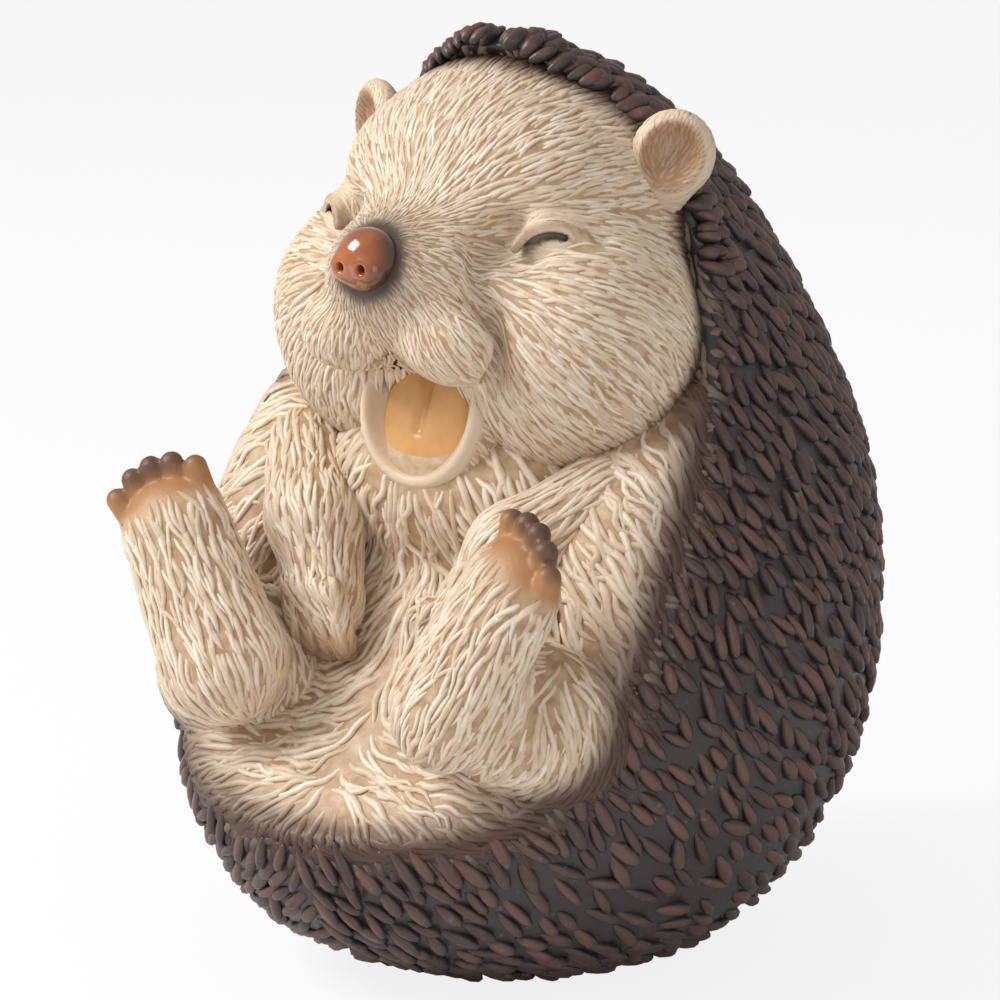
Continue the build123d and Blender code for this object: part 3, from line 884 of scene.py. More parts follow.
CREAM = (0.66, 0.525, 0.375)
CREAM_WARM = (0.55, 0.40, 0.255)
CREAM_WHITE = (0.82, 0.74, 0.63)
GROOVE = (0.36, 0.215, 0.11)
# Brown of the hairline, also used for painted shade in the face's creases and round the nose
RIM_BROWN = (0.075, 0.036, 0.020)
SOOT = (0.035, 0.020, 0.014)
AMBER = (0.37, 0.165, 0.052)
QUILL_BROWNS = ((0.060, 0.032, 0.024), (0.135, 0.062, 0.040))
QUILL_CHARCOAL = (0.036, 0.029, 0.027)
QUILL_DUST = (0.33, 0.25, 0.20)
NOSE_AMBERS = ((0.40, 0.12, 0.028), (0.22, 0.055, 0.016))
MOUTH_TANS = ((0.66, 0.36, 0.13), (0.56, 0.27, 0.09))
WORN_SHARE = 0.7


def make_grain():
    # Fine unevenness of the surface
    settings = [("Size", "Float"), ("Strength", "Float"), ("Depth", "Float")]
    group, inputs, outputs = new_group("grain", settings, [("Normal", "Vector")])
    nodes, link = group.nodes, group.links.new
    place = nodes.new("ShaderNodeTexCoord")
    bumps = nodes.new("ShaderNodeTexNoise")
    grain = nodes.new("ShaderNodeBump")
    link(place.outputs["Object"], bumps.inputs["Vector"])
    link(inputs.outputs["Size"], bumps.inputs["Scale"])
    link(bumps.outputs["Fac"], grain.inputs["Height"])
    link(inputs.outputs["Strength"], grain.inputs["Strength"])
    link(inputs.outputs["Depth"], grain.inputs["Distance"])
    link(grain.outputs["Normal"], outputs.inputs["Normal"])
    return group


def make_airbrush_and_shade():
    # Smooth cream, amber, brown and soot sprayed over a colour where the masks say so; the brown mask also
    # lays painted shade on the face
    group, inputs, outputs = new_group("airbrush_and_shade", [("Under", "Color")], [("Color", "Color")])
    nodes, link = group.nodes, group.links.new
    colour = mixed(nodes, link, mask_value(nodes, "smooth"), inputs.outputs["Under"], CREAM)
    colour = mixed(nodes, link, mask_value(nodes, "amber"), colour, AMBER)
    colour = mixed(nodes, link, mask_value(nodes, "brown"), colour, RIM_BROWN)
    colour = mixed(nodes, link, mask_value(nodes, "soot"), colour, SOOT)
    link(colour, outputs.inputs["Color"])
    return group


def reckoned(nodes, link, operation, first, second):
    # Two values worked together, the second of which may be a plain number
    node = nodes.new("ShaderNodeMath")
    node.operation = operation
    link(first, node.inputs[0])
    if isinstance(second, float):
        node.inputs[1].default_value = second
    else:
        link(second, node.inputs[1])
    return node.outputs["Value"]


def give_grain(nodes, link, size, strength, depth):
    normal = placed(nodes, link, grain, {"Size": size, "Strength": strength, "Depth": depth})
    link(normal, nodes["Principled BSDF"].inputs["Normal"])


def make_fur_paint(name, ridged):
    # Cream ridges over tan grooves, with a white dry-brush on the highest hair
    material, nodes, link = new_material(name)
    paint = nodes["Principled BSDF"]
    blotch = noise(nodes, link, 420.0)
    colour = mixed(nodes, link, mapped(nodes, link, blotch, 0.3, 0.7), GROOVE, CREAM_WARM)
    if ridged:
        # A lock is pale along its middle, and some locks are warmer or whiter than others
        from_middle = reckoned(nodes, link, "SUBTRACT", mask_value(nodes, "across"), 0.5)
        from_middle = reckoned(nodes, link, "ABSOLUTE", from_middle, 0.0)
        tone = mask_value(nodes, "tone")
        ridge = mixed(nodes, link, mapped(nodes, link, tone, 0.0, 0.6, 0.7, 0.0), CREAM, CREAM_WARM)
        ridge = mixed(nodes, link, mapped(nodes, link, blotch, 0.45, 0.75, 0.0, 0.4), ridge, CREAM_WHITE)
        on_middle = mapped(nodes, link, from_middle, 0.2, 0.0)
        on_pale_locks = mapped(nodes, link, tone, 0.5, 1.0)
        white = reckoned(nodes, link, "MULTIPLY", on_middle, on_pale_locks)
        ridge = mixed(nodes, link, white, ridge, CREAM_WHITE)
        colour = mixed(nodes, link, mapped(nodes, link, from_middle, 0.24, 0.48), ridge, colour)
    link(placed(nodes, link, airbrush_and_shade, {"Under": colour}), paint.inputs["Base Color"])
    paint.inputs["Roughness"].default_value = 0.5
    give_grain(nodes, link, size=1400.0, strength=0.25, depth=0.0003)
    return material


def make_quill_paint():
    # Charcoal with warmer brown crests, satin
    material, nodes, link = new_material("quill_paint")
    paint = nodes["Principled BSDF"]
    brown = mixed(nodes, link, mask_value(nodes, "tone"), *QUILL_BROWNS)
    on_crest = mapped(nodes, link, mask_value(nodes, "crest"), 0.08, 0.40)
    colour = mixed(nodes, link, on_crest, QUILL_CHARCOAL, brown)
    dust = mapped(nodes, link, noise(nodes, link, 700.0), 0.64, 0.76, 0.0, 0.3)
    link(mixed(nodes, link, dust, colour, QUILL_DUST), paint.inputs["Base Color"])
    paint.inputs["Roughness"].default_value = 0.42
    give_grain(nodes, link, size=600.0, strength=0.4, depth=0.0004)
    return material


def make_glossy_paint(name, light, dark, roughness, coat):
    # One colour shaded to another by a soft blotch, and darkened by the soot mask, which on the nose is
    # painted shade round its back
    material, nodes, link = new_material(name)
    paint = nodes["Principled BSDF"]
    colour = mixed(nodes, link, mapped(nodes, link, noise(nodes, link, 160.0), 0.35, 0.7), light, dark)
    colour = mixed(nodes, link, mask_value(nodes, "soot"), colour, SOOT)
    link(colour, paint.inputs["Base Color"])
    paint.inputs["Roughness"].default_value = roughness
    paint.inputs["Coat Weight"].default_value = coat
    paint.inputs["Coat Roughness"].default_value = 0.1
    give_grain(nodes, link, size=900.0, strength=0.15, depth=0.0002)
    return material


def make_slot_paint(name, colour, roughness, metallic, size):
    # Hidden pieces: one colour with a little wear
    material, nodes, link = new_material(name)
    paint = nodes["Principled BSDF"]
    worn = tuple(WORN_SHARE * part for part in colour)
    link(mixed(nodes, link, noise(nodes, link, size), colour, worn), paint.inputs["Base Color"])
    paint.inputs["Roughness"].default_value = roughness
    paint.inputs["Metallic"].default_value = metallic
    give_grain(nodes, link, size=size, strength=0.4, depth=0.0002)
    return material


grain = make_grain()
airbrush_and_shade = make_airbrush_and_shade()
fur_base = make_fur_paint("fur_base", ridged=False)
fur_locks = make_fur_paint("fur_locks", ridged=True)
quill_paint = make_quill_paint()
nose_paint = make_glossy_paint("nose_paint", *NOSE_AMBERS, roughness=0.2, coat=0.7)
mouth_paint = make_glossy_paint("mouth_paint", *MOUTH_TANS, roughness=0.4, coat=0.15)


# Masks of paint, from where a point lies on the figure

# Sprays and painted shade: how strong the paint is, the distance where it ends and the one where it is full
RIM_BROWNING = (1, 7.5, 1.0)
RIM_DEPTH = 4.0
HEAD_RIM_DEPTH = 16
RIM_SOFTNESS = 6
NOSE_SOOT = (0.95, 8.8, 6.2)
# Painted shade: round the nose, along the fold over the lid, in the eye's inner corner and along the crease
NOSE_SHADE = (0.3, 14, 8)
# Darker along the eye's closed line
LINE_DARKENING = (0.8, 1.3, 0.7)
FOLD_SHADE = (0.3, 1.6, 0.4)
EYE_CORNER = (17, -28.5, 134)
CORNER_SHADE = (0.35, 6.5, 1)
CREASE_SHADE = (0.25, 3.0, 0.5)
BARE_LID = (1, 1.4, 1.0)
LID_REACH = (1, 7, 5)
# Along the paw, counted from its middle
FINGER_CREAM = (1, -2, -6)
FINGER_BROWN = (0.55, -5, -9)
FINGER_AMBER = 0.6
# Along the foot, counted from the end of the shank
TOE_CREAM = (1, 1.5, 6.5)
TOE_AMBER = 0.95
TOE_BROWN = (0.85, 7.5, 12)
TOE_SOOT = (0.6, 12, 15)
# Round the mouth, counted from its edge
MOUTH_AMBER = (0.35, 1.0, -0.4)
RING_CREAM = (1, 3.6, 2.6)
# Over the rim, from the front to the back
MARGIN_OVER = (1, -2.5, 4.5)
# Painted shade round the back of the nose, counted from its brightest place
NOSE_SHINE = (-1, -48.5, 134)
NOSE_BACK_SHADE = (0.92, 4.5, 8.5)
# In the dish of an ear
DISH_PAINT = (1, 1.1, 0.2)


def sprayed_paint_and_shade(spray, distance):
    strength, end, full = spray
    return strength * smooth_step(end, full, distance)


def away_from(points, place):
    return np.linalg.norm(points - np.array(place), axis=-1)


def masks_with(points, **given):
    # The four masks of the airbrush and of the painted shade, nought where none is given
    nought = np.zeros(len(points))
    return {mask: given.get(mask, nought) for mask in ("brown", "soot", "amber", "smooth")}


def rim_brown(points, depth=RIM_DEPTH):
    # Brown hair where cream meets the coat
    ahead = sprayed_paint_and_shade(RIM_BROWNING, -front_distance(points))
    return ahead * smooth_step(-depth - RIM_SOFTNESS, -depth, coat_outside(points))


def head_masks(points):
    half = mirrored(points)
    nose_gap = away_from(half, NOSE_MIDDLE)
    line = eye_arc(half, LINE_RADIUS, 0)
    soot = np.maximum(sprayed_paint_and_shade(NOSE_SOOT, nose_gap), sprayed_paint_and_shade(LINE_DARKENING, line))
    # Brown paint at the hairline, and painted shade round the nose, in the eye's inner corner, along the fold
    # over the lid and along the crease
    brown = np.maximum.reduce([
        rim_brown(points, HEAD_RIM_DEPTH),
        sprayed_paint_and_shade(NOSE_SHADE, nose_gap),
        sprayed_paint_and_shade(CORNER_SHADE, away_from(half, EYE_CORNER)),
        sprayed_paint_and_shade(FOLD_SHADE, eye_arc(half, FOLD_RADIUS, 0)),
        sprayed_paint_and_shade(CREASE_SHADE, chain(half, crease_path, 0)),
    ])
    lid = sprayed_paint_and_shade(BARE_LID, egg(half, *EYE)) * sprayed_paint_and_shade(LID_REACH, line)
    return masks_with(points, brown=brown, soot=soot, smooth=lid)


def body_masks(points):
    return masks_with(points, brown=rim_brown(points))


def arm_masks(points):
    up = points[..., 2] - PAW[2]
    tips = sprayed_paint_and_shade(FINGER_CREAM, up)
    brown = np.maximum(rim_brown(points), sprayed_paint_and_shade(FINGER_BROWN, up))
    return masks_with(points, brown=brown, amber=FINGER_AMBER * tips, smooth=tips)


def leg_masks(points):
    along = shank_local(mirrored(points))[..., 2] - shank_length
    toes = sprayed_paint_and_shade(TOE_CREAM, along)
    brown = np.maximum(rim_brown(points), sprayed_paint_and_shade(TOE_BROWN, along))
    return masks_with(points, brown=brown, soot=sprayed_paint_and_shade(TOE_SOOT, along), amber=TOE_AMBER * toes, smooth=toes)


def jaw_masks(points):
    # The lip ring is smooth and pale, and yellower inside
    from_mouth = egg(mirrored(points), *MOUTH)
    return masks_with(points, amber=sprayed_paint_and_shade(MOUTH_AMBER, from_mouth), smooth=sprayed_paint_and_shade(RING_CREAM, from_mouth))


def margin_masks(points):
    # Brown hair on the rim that turns to charcoal over the coat
    over = sprayed_paint_and_shade(MARGIN_OVER, front_distance(points))
    return masks_with(points, brown=0.55 + 0.45 * over, soot=0.55 * over)


# Painted shade that darkens the nose towards its back and edges
def nose_masks(points):
    return {"soot": sprayed_paint_and_shade(NOSE_BACK_SHADE, away_from(points, NOSE_SHINE))}


def ear_masks(points):
    dish = sprayed_paint_and_shade(DISH_PAINT, egg(mirrored(points), *EAR_DISH))
    return masks_with(points, brown=0.16 * dish, amber=0.55 * dish, smooth=0.8 - 0.5 * dish)


# Flows of the hair

NOSE_BRIDGE = (0, -43, 136)
# Below the first height the hair of the head starts to hang, and from the second on it hangs fully
HANGING_HEIGHTS = (132, 112)
HANGING_WAY = (0, 0.1, -0.35)
# The belly's hair turns outwards with the distance from the middle, most of all at the waist
FAN_WIDTH = 18
FAN_LIMIT = 1.4
WAIST_TOP_HEIGHTS = (66, 54)
WAIST_BOTTOM_HEIGHTS = (32, 44)
LAP_HEIGHTS = (42, 33)
HAUNCH_AXIS = (0.2, -1, 0.1)
SHANK_HAIR_GAPS = (8, 2)
MOUTH_TOP = (0, -33, 112)
CHIN_WAY = (0, 0.3, -0.3)
EAR_BASE = (EAR_MIDDLE[0] - 3, 0, EAR_MIDDLE[2] - 7)
# Hair by the nose has this share of its full size, and gains the rest between these distances
SHORT_HAIR_SHARE = 0.55
GAINED_HAIR_SHARE = 0.45
SHORT_HAIR_DISTANCES = (8, 26)
# Quills point down and a little back, and lean forward near the bottom
QUILL_WAY = np.array([0.0, 0.3, -1.0])
LEAN_HEIGHTS = [5, 17, 33, 48, 75]
LEAN_DEGREES = [85, 55, 30, 17, 0]


def head_flow(points):
    # Away from the bridge of the nose, swept down over the cheeks
    hanging = smooth_step(*HANGING_HEIGHTS, points[..., 2])
    return unit(points - np.array(NOSE_BRIDGE)) + hanging[:, None] * np.array(HANGING_WAY)


def belly_flow(points):
    # Down from the chin, out to the sides at the waist, and in a fan at the bottom
    height = points[..., 2]
    side = np.clip(points[..., 0] / FAN_WIDTH, -FAN_LIMIT, FAN_LIMIT)
    waist = smooth_step(*WAIST_TOP_HEIGHTS, height) * smooth_step(*WAIST_BOTTOM_HEIGHTS, height)
    low = smooth_step(*LAP_HEIGHTS, height)
    return np.stack([side * (0.7 + 1.3 * waist), -1.6 * low, -1 + 0.5 * waist + 0.6 * low], -1)


def arm_flow(points):
    return np.broadcast_to(np.array(PAW) - np.array(SHOULDER), points.shape)


def leg_flow(points):
    # Down the shank, then round the haunch
    from_shank = rod(shank_local(points), (0, 0, 0), (0, 0, shank_length), *SHANK_RADII)
    on_shank = smooth_step(*SHANK_HAIR_GAPS, from_shank)[:, None]
    round_haunch = np.cross(np.array(HAUNCH_AXIS), points - np.array(HAUNCH[0]))
    return on_shank * -shank_along + (1 - on_shank) * -unit(round_haunch)


def jaw_flow(points):
    return unit(points - np.array(MOUTH_TOP)) + np.array(CHIN_WAY)


def ear_flow(points):
    return points - np.array(EAR_BASE)


def margin_flow(points):
    # Back over the rim and down
    side = points[..., 0]
    return np.stack([0.25 * np.sign(side), 1 + 0 * side, -0.75 + 0 * side], -1)


def head_growth(points):
    # Hair is short round the nose and the lips
    from_nose = away_from(mirrored(points), NOSE_MIDDLE)
    return SHORT_HAIR_SHARE + GAINED_HAIR_SHARE * smooth_step(*SHORT_HAIR_DISTANCES, from_nose)


def coat_flow(points):
    # Down the sides and the back, turning forward round the bottom
    lean = np.radians(np.interp(points[..., 2], LEAN_HEIGHTS, LEAN_DEGREES))
    facing = unit(gradient(coat_outside, points))
    down = laid_flat(QUILL_WAY, facing)
    level = np.cross(facing, np.array([0.0, 0.0, 1.0]))
    level = unit(level) * np.where(points[..., 0] < 0, 1, -1)[:, None]
    return down * np.cos(lean)[:, None] + level * np.sin(lean)[:, None]


# The pieces

# Gaps between the roots along and across the flow, and the size and lie of the locks
HEAD_GAPS = (3.0, 0.6)
HEAD_LOCKS = {"length": 6.5, "width": 0.92, "lift": 0.6, "rise": 0.35, "wave": 7.0,
              "stations": 6, "profile": 4}
JAW_GAPS = (2.4, 0.7)
JAW_LOCKS = {"length": 4.5, "width": 1.05, "lift": 0.8, "rise": 0.5}
BELLY_GAPS = (5.0, 1.0)
BELLY_LOCKS = {"length": 12.0, "width": 1.5, "lift": 0.8, "rise": 1.2, "wander": 11.0, "wave": 22.0,
               "stations": 9, "profile": 4}
EAR_GAPS = (1.7, 0.55)
EAR_LOCKS = {"length": 3.0, "width": 0.75, "rise": 0.3}
LIMB_GAPS = (4.2, 0.8)
ARM_LOCKS = {"length": 8.5, "width": 1.15, "lift": 0.75, "wander": 8.0, "wave": 10.0,
             "stations": 6, "profile": 4}
LEG_LOCKS = {**ARM_LOCKS, "wave": 12.0}
MARGIN_GAPS = (3.4, 1.2)
MARGIN_LOCKS = {"length": 5.5, "width": 1.5, "lift": 0.8, "wander": 14.0}

# Roots deeper than this in a neighbour are left out, and so are those behind the opening's edge
HIDDEN_DEPTH = 1
HEAD_BEHIND_EDGE = 1.5
BELLY_BEHIND_EDGE = 2
# The belly's hair goes on below the edge, on the lap
LAP_FRONT = -38
LAP_BOTTOM = 22
LAP_UNDER_COAT = 3
# How far hair keeps off the eyes, mouth, nose and lip ring, and how far it reaches on the lips and toes
BARE_EYE_RADIUS = LINE_RADIUS + 0.4
BARE_EYE_WIDTH = 2.6
BARE_MOUTH = 0.3
BARE_NOSE = 0.8
LIP_HAIR_REACH = 0.8
RING_WIDTH = 2.6
TOE_REACH = 5.5
# The margin: hair from before the opening's edge to behind it
MARGIN_BAND = (-3, 3.5)
MARGIN_BOTTOM = 12


def finish_piece(piece, node):
    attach(piece, "root")
    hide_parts(node)


def add_form(name, form, grid, paint, node, masks, mirror=False):
    # A piece in the form's shape, whose corners are given back as they were before any mirroring
    unmirrored, faces = sculpt(form, *grid)
    corners = unmirrored
    if mirror:
        corners = corners * np.array([-1, 1, 1])
        faces = faces[:, ::-1]
    piece = make_piece(name, corners, faces)
    for mask, values in masks(corners).items():
        add_values(piece.data, mask, values)
    piece.data.materials.append(paint)
    finish_piece(piece, node)
    return unmirrored


def add_locks(name, node, mirror, *growing, **look):
    piece = grow_locks(name, *growing, **look)
    if mirror:
        piece.data.transform(Matrix.Scale(-1, 4, (1, 0, 0)))
        piece.data.flip_normals()
    finish_piece(piece, node)


def face_gap(points):
    # How far a point is from the bare parts of the face; the lip pads keep their hair over the mouth
    half = mirrored(points)
    eye = eye_arc(half, BARE_EYE_RADIUS, BARE_EYE_WIDTH)
    mouth = np.maximum(egg(half, *MOUTH) - BARE_MOUTH, LIP_HAIR_REACH - egg(half, *LIP))
    return np.minimum.reduce([eye, mouth, egg(half, *NOSE) - BARE_NOSE])


def clear_of(points, *neighbours):
    # Points that no neighbour hides
    for neighbour in neighbours:
        points = points[neighbour(points) > -HIDDEN_DEPTH]
    return points


def add_head():
    points = add_form("head_skin", open_head_distance, HEAD_GRID, fur_base, "head", head_masks)
    roots = points[front_distance(points) < HEAD_BEHIND_EDGE]
    roots = roots[face_gap(roots) > 0]
    roots = lay_roots(roots, face_distance, head_flow, HEAD_GAPS, 1, head_growth)
    # In halves, so that no piece grows too large
    for side, chosen in (("left", roots[:, 0] >= 0), ("right", roots[:, 0] < 0)):
        add_locks("head_fur_" + side, "head", False, face_distance, roots[chosen], head_flow, head_masks, 2,
                  growth=head_growth, **HEAD_LOCKS)


def add_mouth_and_nose():
    points = add_form("jaw_skin", jaw_distance, JAW_GRID, fur_base, "jaw", jaw_masks)
    add_form("tongue_form", tongue_distance, TONGUE_GRID, mouth_paint, "tongue", body_masks)
    add_form("nose_form", nose_distance, NOSE_GRID, nose_paint, "nose", nose_masks)
    roots = clear_of(points[egg(points, *MOUTH) > RING_WIDTH], head_distance)
    roots = lay_roots(roots, chin_distance, jaw_flow, JAW_GAPS, 9)
    add_locks("jaw_fur", "jaw", False, chin_distance, roots, jaw_flow, body_masks, 10, **JAW_LOCKS)


def add_belly():
    points = add_form("belly_skin", belly_distance, BELLY_GRID, fur_base, "belly", body_masks)
    ahead = front_distance(points) < BELLY_BEHIND_EDGE
    on_lap = (points[:, 1] < LAP_FRONT) & (points[:, 2] > LAP_BOTTOM)
    on_lap &= coat_outside(points) < -LAP_UNDER_COAT
    roots = clear_of(points[ahead | on_lap], head_distance)
    roots = roots[chin_distance(roots) > -HIDDEN_DEPTH / 2]
    half_roots = mirrored(roots)
    clear = (leg_distance(half_roots) > -HIDDEN_DEPTH) & (arm_distance(half_roots) > -HIDDEN_DEPTH)
    roots = lay_roots(roots[clear], belly_distance, belly_flow, BELLY_GAPS, 3)
    add_locks("belly_fur", "belly", False, belly_distance, roots, belly_flow, body_masks, 4, **BELLY_LOCKS)


def add_ear(side, mirror):
    node = "ear_" + side
    points = add_form("ear_skin_" + side, ear_distance, EAR_GRID, fur_base, node, ear_masks,
                      mirror)
    roots = lay_roots(points, ear_distance, ear_flow, EAR_GAPS, 11)
    add_locks("ear_fur_" + side, node, mirror, ear_distance, roots, ear_flow, ear_masks, 12, **EAR_LOCKS)


def add_arm(side, mirror):
    node = "arm_" + side
    points = add_form("arm_skin_" + side, arm_distance, ARM_GRID, fur_base, node, arm_masks,
                      mirror)
    roots = clear_of(points, head_distance, belly_distance)
    roots = lay_roots(roots, arm_distance, arm_flow, LIMB_GAPS, 5)
    add_locks("arm_fur_" + side, node, mirror, arm_distance, roots, arm_flow, arm_masks, 6, **ARM_LOCKS)


def add_leg(side, mirror):
    node = "leg_" + side
    points = add_form("leg_skin_" + side, leg_distance, LEG_GRID, fur_base, node, leg_masks,
                      mirror)
    roots = clear_of(points[shank_local(points)[:, 2] < shank_length + TOE_REACH], belly_distance)
    roots = lay_roots(roots, leg_distance, leg_flow, LIMB_GAPS, 7)
    add_locks("leg_fur_" + side, node, mirror, leg_distance, roots, leg_flow, leg_masks, 8, **LEG_LOCKS)


def add_coat():
    points = add_form("coat_skin", coat_distance, COAT_GRID, quill_paint, "quill_coat", margin_masks)
    edge_gap = front_distance(points)
    in_band = (edge_gap > MARGIN_BAND[0]) & (edge_gap < MARGIN_BAND[1])
    roots = points[in_band & (points[:, 2] > MARGIN_BOTTOM)]
    roots = lay_roots(roots, coat_distance, margin_flow, MARGIN_GAPS, 13)
    piece = grow_locks("coat_margin", coat_distance, roots, margin_flow, margin_masks, 14, **MARGIN_LOCKS)
    finish_piece(piece, "quill_coat")
    return points


add_head()
add_mouth_and_nose()
add_belly()
for side, mirror in (("left", False), ("right", True)):
    add_ear(side, mirror)
    add_arm(side, mirror)
    add_leg(side, mirror)
coat_points = add_coat()


# Quills all over the coat, lying along its flow

# Gaps along and across the flow, then width, length and height
QUILL_GAPS = (4.7, 2.5)
QUILL_SIZES = (2.8, 7.6, 2.5)
QUILL_SPREAD_SHARES = (0.75, 1.25)
QUILL_RISE = 0.2
# In degrees: how far the tips stand up, and how much the quills differ
QUILL_TILT = 12
TILT_SPREAD = 4
QUILL_WANDER = 13
# Where quills stand: near the skin's outside, behind the opening's edge and above the base
QUILL_GROUND_DEPTH = 0.5
QUILL_BEHIND_EDGE = 1.5
QUILL_BOTTOM = 4


def grow_quills(name, places, ways, rng, tilt, sizes):
    facing = unit(gradient(coat_outside, places))
    way = turned(laid_flat(ways, facing), facing, np.radians(rng.normal(0, QUILL_WANDER, len(places))))
    tilt = np.radians(rng.normal(tilt, TILT_SPREAD, len(places)))[:, None]
    tip_way = way * np.cos(tilt) + facing * np.sin(tilt)
    up = unit(np.cross(np.cross(tip_way, facing), tip_way))
    mesh = bpy.data.meshes.new(name)
    mesh.from_pydata(((places + QUILL_RISE * facing) * MM).tolist(), [], [])
    add_vectors(mesh, "facing", up)
    add_vectors(mesh, "tip_way", tip_way)
    add_vectors(mesh, "size", rng.uniform(*QUILL_SPREAD_SHARES, (len(places), 3)))
    add_values(mesh, "tone", rng.uniform(0, 1, len(places)))
    width, length, height = sizes
    settings = {"Width": width * MM, "Length": length * MM, "Height": height * MM, "Material": quill_paint}
    finish_piece(grown(name, mesh, quill_tree, settings), "quill_coat")


def add_quills(points, rng):
    outer = coat_outside(points) > -QUILL_SINK - QUILL_GROUND_DEPTH
    outer &= front_distance(points) > QUILL_BEHIND_EDGE
    places = points[outer & (points[:, 2] > QUILL_BOTTOM)]
    ways = coat_flow(places)
    long_gaps, side_gaps = (gap * no_growth(places) for gap in QUILL_GAPS)
    chosen = spread_out(places, ways, long_gaps, side_gaps, rng)
    places, ways = places[chosen], ways[chosen]
    for side, chosen in (("left", places[:, 0] >= 0), ("right", places[:, 0] < 0)):
        grow_quills("quills_" + side, places[chosen], ways[chosen], rng, QUILL_TILT, QUILL_SIZES)


# Upright quills along the hairline, from ear to ear

# Distance behind the hairline, pitch and tilt of each row
CREST_ROWS = [
    (0.3, 2.8, 26),
    (2.5, 3.0, 24),
    (4.9, 3.2, 18),
]
CREST_SIZES = (3.1, 5.0, 3.2)
CREST_START = 128
CREST_END = COAT_TOP - 0.5
CREST_WAY = (0.0, 1.0, -0.4)
CREST_SCATTER = 0.5
CREST_SINK = 1.0
EDGE_SAMPLES = 400


def crest_places(row_back, pitch):
    # Even steps along the opening's edge up to the crown, then across it to the middle
    heights = np.linspace(CREST_START, CREST_END, EDGE_SAMPLES)
    edge = coat_surface(heights, opening_turn(heights))
    walked = np.concatenate([[0], np.cumsum(np.linalg.norm(np.diff(edge, axis=0), axis=-1))])
    steps = np.arange(0, walked[-1], pitch)
    one_side = np.stack([np.interp(steps, walked, edge[:, i]) for i in range(3)], -1)
    top = one_side[-1]
    across = np.arange(pitch, top[0], pitch)
    bridge = np.stack([across, 0 * across + top[1], 0 * across + top[2]], -1)
    one_side = np.concatenate([one_side, bridge]) + np.array([0, row_back, 0])
    return np.concatenate([one_side, one_side * np.array([-1, 1, 1])])


def add_crest(rng):
    for number, (row_back, pitch, tilt) in enumerate(CREST_ROWS):
        places = crest_places(row_back, pitch)
        places = settle(coat_outside, places + rng.normal(0, CREST_SCATTER, places.shape))
        places = places - np.array([0, 0, CREST_SINK])
        ways = np.broadcast_to(np.array(CREST_WAY), places.shape)
        grow_quills("crest_%d" % number, places, ways, rng, tilt, CREST_SIZES)


quill_rng = random_stream(20)
add_quills(coat_points, quill_rng)
add_crest(quill_rng)


# Hidden pieces stay as the CAD made them, each with its own finish

HIDDEN_FINISHES = [
    # Slot, colour, roughness, metallic, grain size and the nodes that have it
    ("pin_steel", (0.55, 0.55, 0.56), 0.3, 1.0, 900.0, ["neck_dowel", "arm_dowels", "leg_dowels"]),
    ("plug_rubber", (0.03, 0.03, 0.03), 0.7, 0.0, 300.0, ["base_plug"]),
    ("base_felt_grey", (0.10, 0.09, 0.08), 0.95, 0.0, 1500.0, ["base_felt"]),
]
for slot_name, *finish, node_names in HIDDEN_FINISHES:
    slot_paint = make_slot_paint(slot_name, *finish)
    for node_name in node_names:
        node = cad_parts[node_name]
        node.data.materials.clear()
        node.data.materials.append(slot_paint)


# Stage, lamps and camera

FLOOR_SIZE = 12.0
FLOOR_GREYS = ((0.86, 0.86, 0.86), (0.90, 0.90, 0.90))
FLOOR_WHITENESS = 0.85
WORLD_LIGHT = 0.5
WHITE = (1, 1, 1, 1)
LAMP_AIM = (0, 0, 0.08)


def place_camera():
    azimuth, elevation = PHOTO_AZIMUTH, PHOTO_ELEVATION
    back = Vector((
        math.sin(azimuth) * math.cos(elevation),
        -math.cos(azimuth) * math.cos(elevation),
        math.sin(elevation),
    ))
    camera_data = bpy.data.cameras.new("camera")
    camera_data.sensor_width = SENSOR_WIDTH
    camera_data.lens = SENSOR_WIDTH * CAMERA_DISTANCE * PHOTO_PIXELS_PER_MM / PHOTO_PIXELS
    camera = bpy.data.objects.new("camera", camera_data)
    camera.location = (Vector(CAMERA_TARGET) + CAMERA_DISTANCE * back) * MM
    camera.rotation_euler = back.to_track_quat("Z", "Y").to_euler()
    bpy.context.collection.objects.link(camera)
    bpy.context.scene.camera = camera


def add_lamp(name, place, size, power):
    lamp_data = bpy.data.lights.new(name, "AREA")
    lamp_data.size = size
    lamp_data.energy = power
    lamp = bpy.data.objects.new(name, lamp_data)
    lamp.location = place
    direction = Vector(LAMP_AIM) - Vector(place)
    lamp.rotation_euler = direction.to_track_quat("-Z", "Y").to_euler()
    bpy.context.collection.objects.link(lamp)


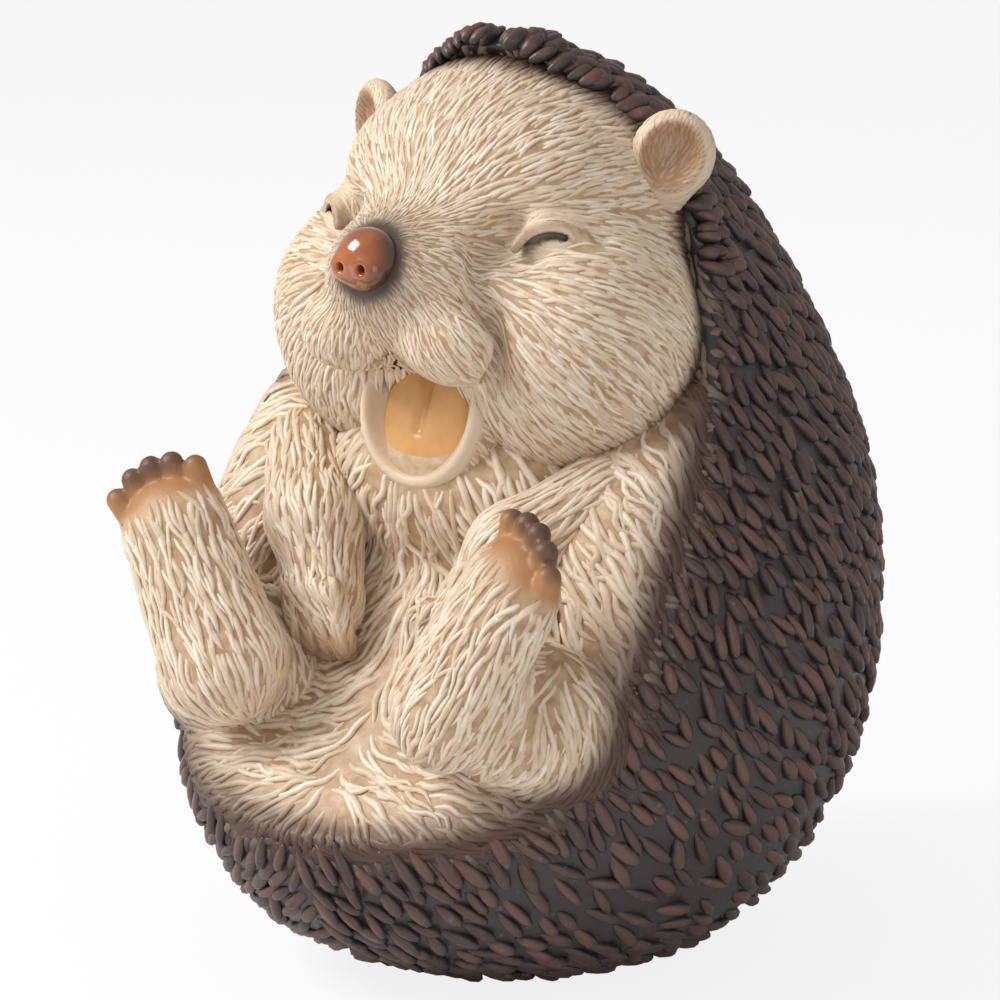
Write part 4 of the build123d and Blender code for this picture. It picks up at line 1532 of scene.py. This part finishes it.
def make_floor():
    # Pale floor that the camera sees as white, with the figurine's shadow on it
    material, nodes, link = new_material("floor_paint")
    paint = nodes["Principled BSDF"]
    speck = noise(nodes, link, 900.0)
    link(mixed(nodes, link, speck, *FLOOR_GREYS), paint.inputs["Base Color"])
    paint.inputs["Roughness"].default_value = 0.9
    white = nodes.new("ShaderNodeEmission")
    path = nodes.new("ShaderNodeLightPath")
    whiteness = reckoned(nodes, link, "MULTIPLY", path.outputs["Is Camera Ray"], FLOOR_WHITENESS)
    mix = nodes.new("ShaderNodeMixShader")
    link(whiteness, mix.inputs["Fac"])
    link(paint.outputs["BSDF"], mix.inputs[1])
    link(white.outputs["Emission"], mix.inputs[2])
    link(mix.outputs["Shader"], nodes["Material Output"].inputs["Surface"])
    reach = FLOOR_SIZE / 2
    corners = [(-reach, -reach, 0), (reach, -reach, 0), (reach, reach, 0), (-reach, reach, 0)]
    mesh = bpy.data.meshes.new("floor")
    mesh.from_pydata(corners, [], [(0, 1, 2, 3)])
    mesh.materials.append(material)
    floor = bpy.data.objects.new("floor", mesh)
    bpy.context.collection.objects.link(floor)


def make_world():
    # Light from all round, which the camera sees as white
    world = bpy.data.worlds.new("world")
    bpy.context.scene.world = world
    world.use_nodes = True
    nodes, link = world.node_tree.nodes, world.node_tree.links.new
    light = nodes["Background"]
    light.inputs["Color"].default_value = WHITE
    light.inputs["Strength"].default_value = WORLD_LIGHT
    seen = nodes.new("ShaderNodeBackground")
    seen.inputs["Color"].default_value = WHITE
    seen.inputs["Strength"].default_value = 1
    path = nodes.new("ShaderNodeLightPath")
    mix = nodes.new("ShaderNodeMixShader")
    link(path.outputs["Is Camera Ray"], mix.inputs["Fac"])
    link(light.outputs["Background"], mix.inputs[1])
    link(seen.outputs["Background"], mix.inputs[2])
    link(mix.outputs["Shader"], nodes["World Output"].inputs["Surface"])


bpy.context.scene.view_settings.view_transform = "Standard"
place_camera()
add_lamp("key", place=(-0.55, -0.55, 0.75), size=0.45, power=10)
add_lamp("fill", place=(0.8, -0.5, 0.3), size=0.6, power=1.5)
make_world()
make_floor()
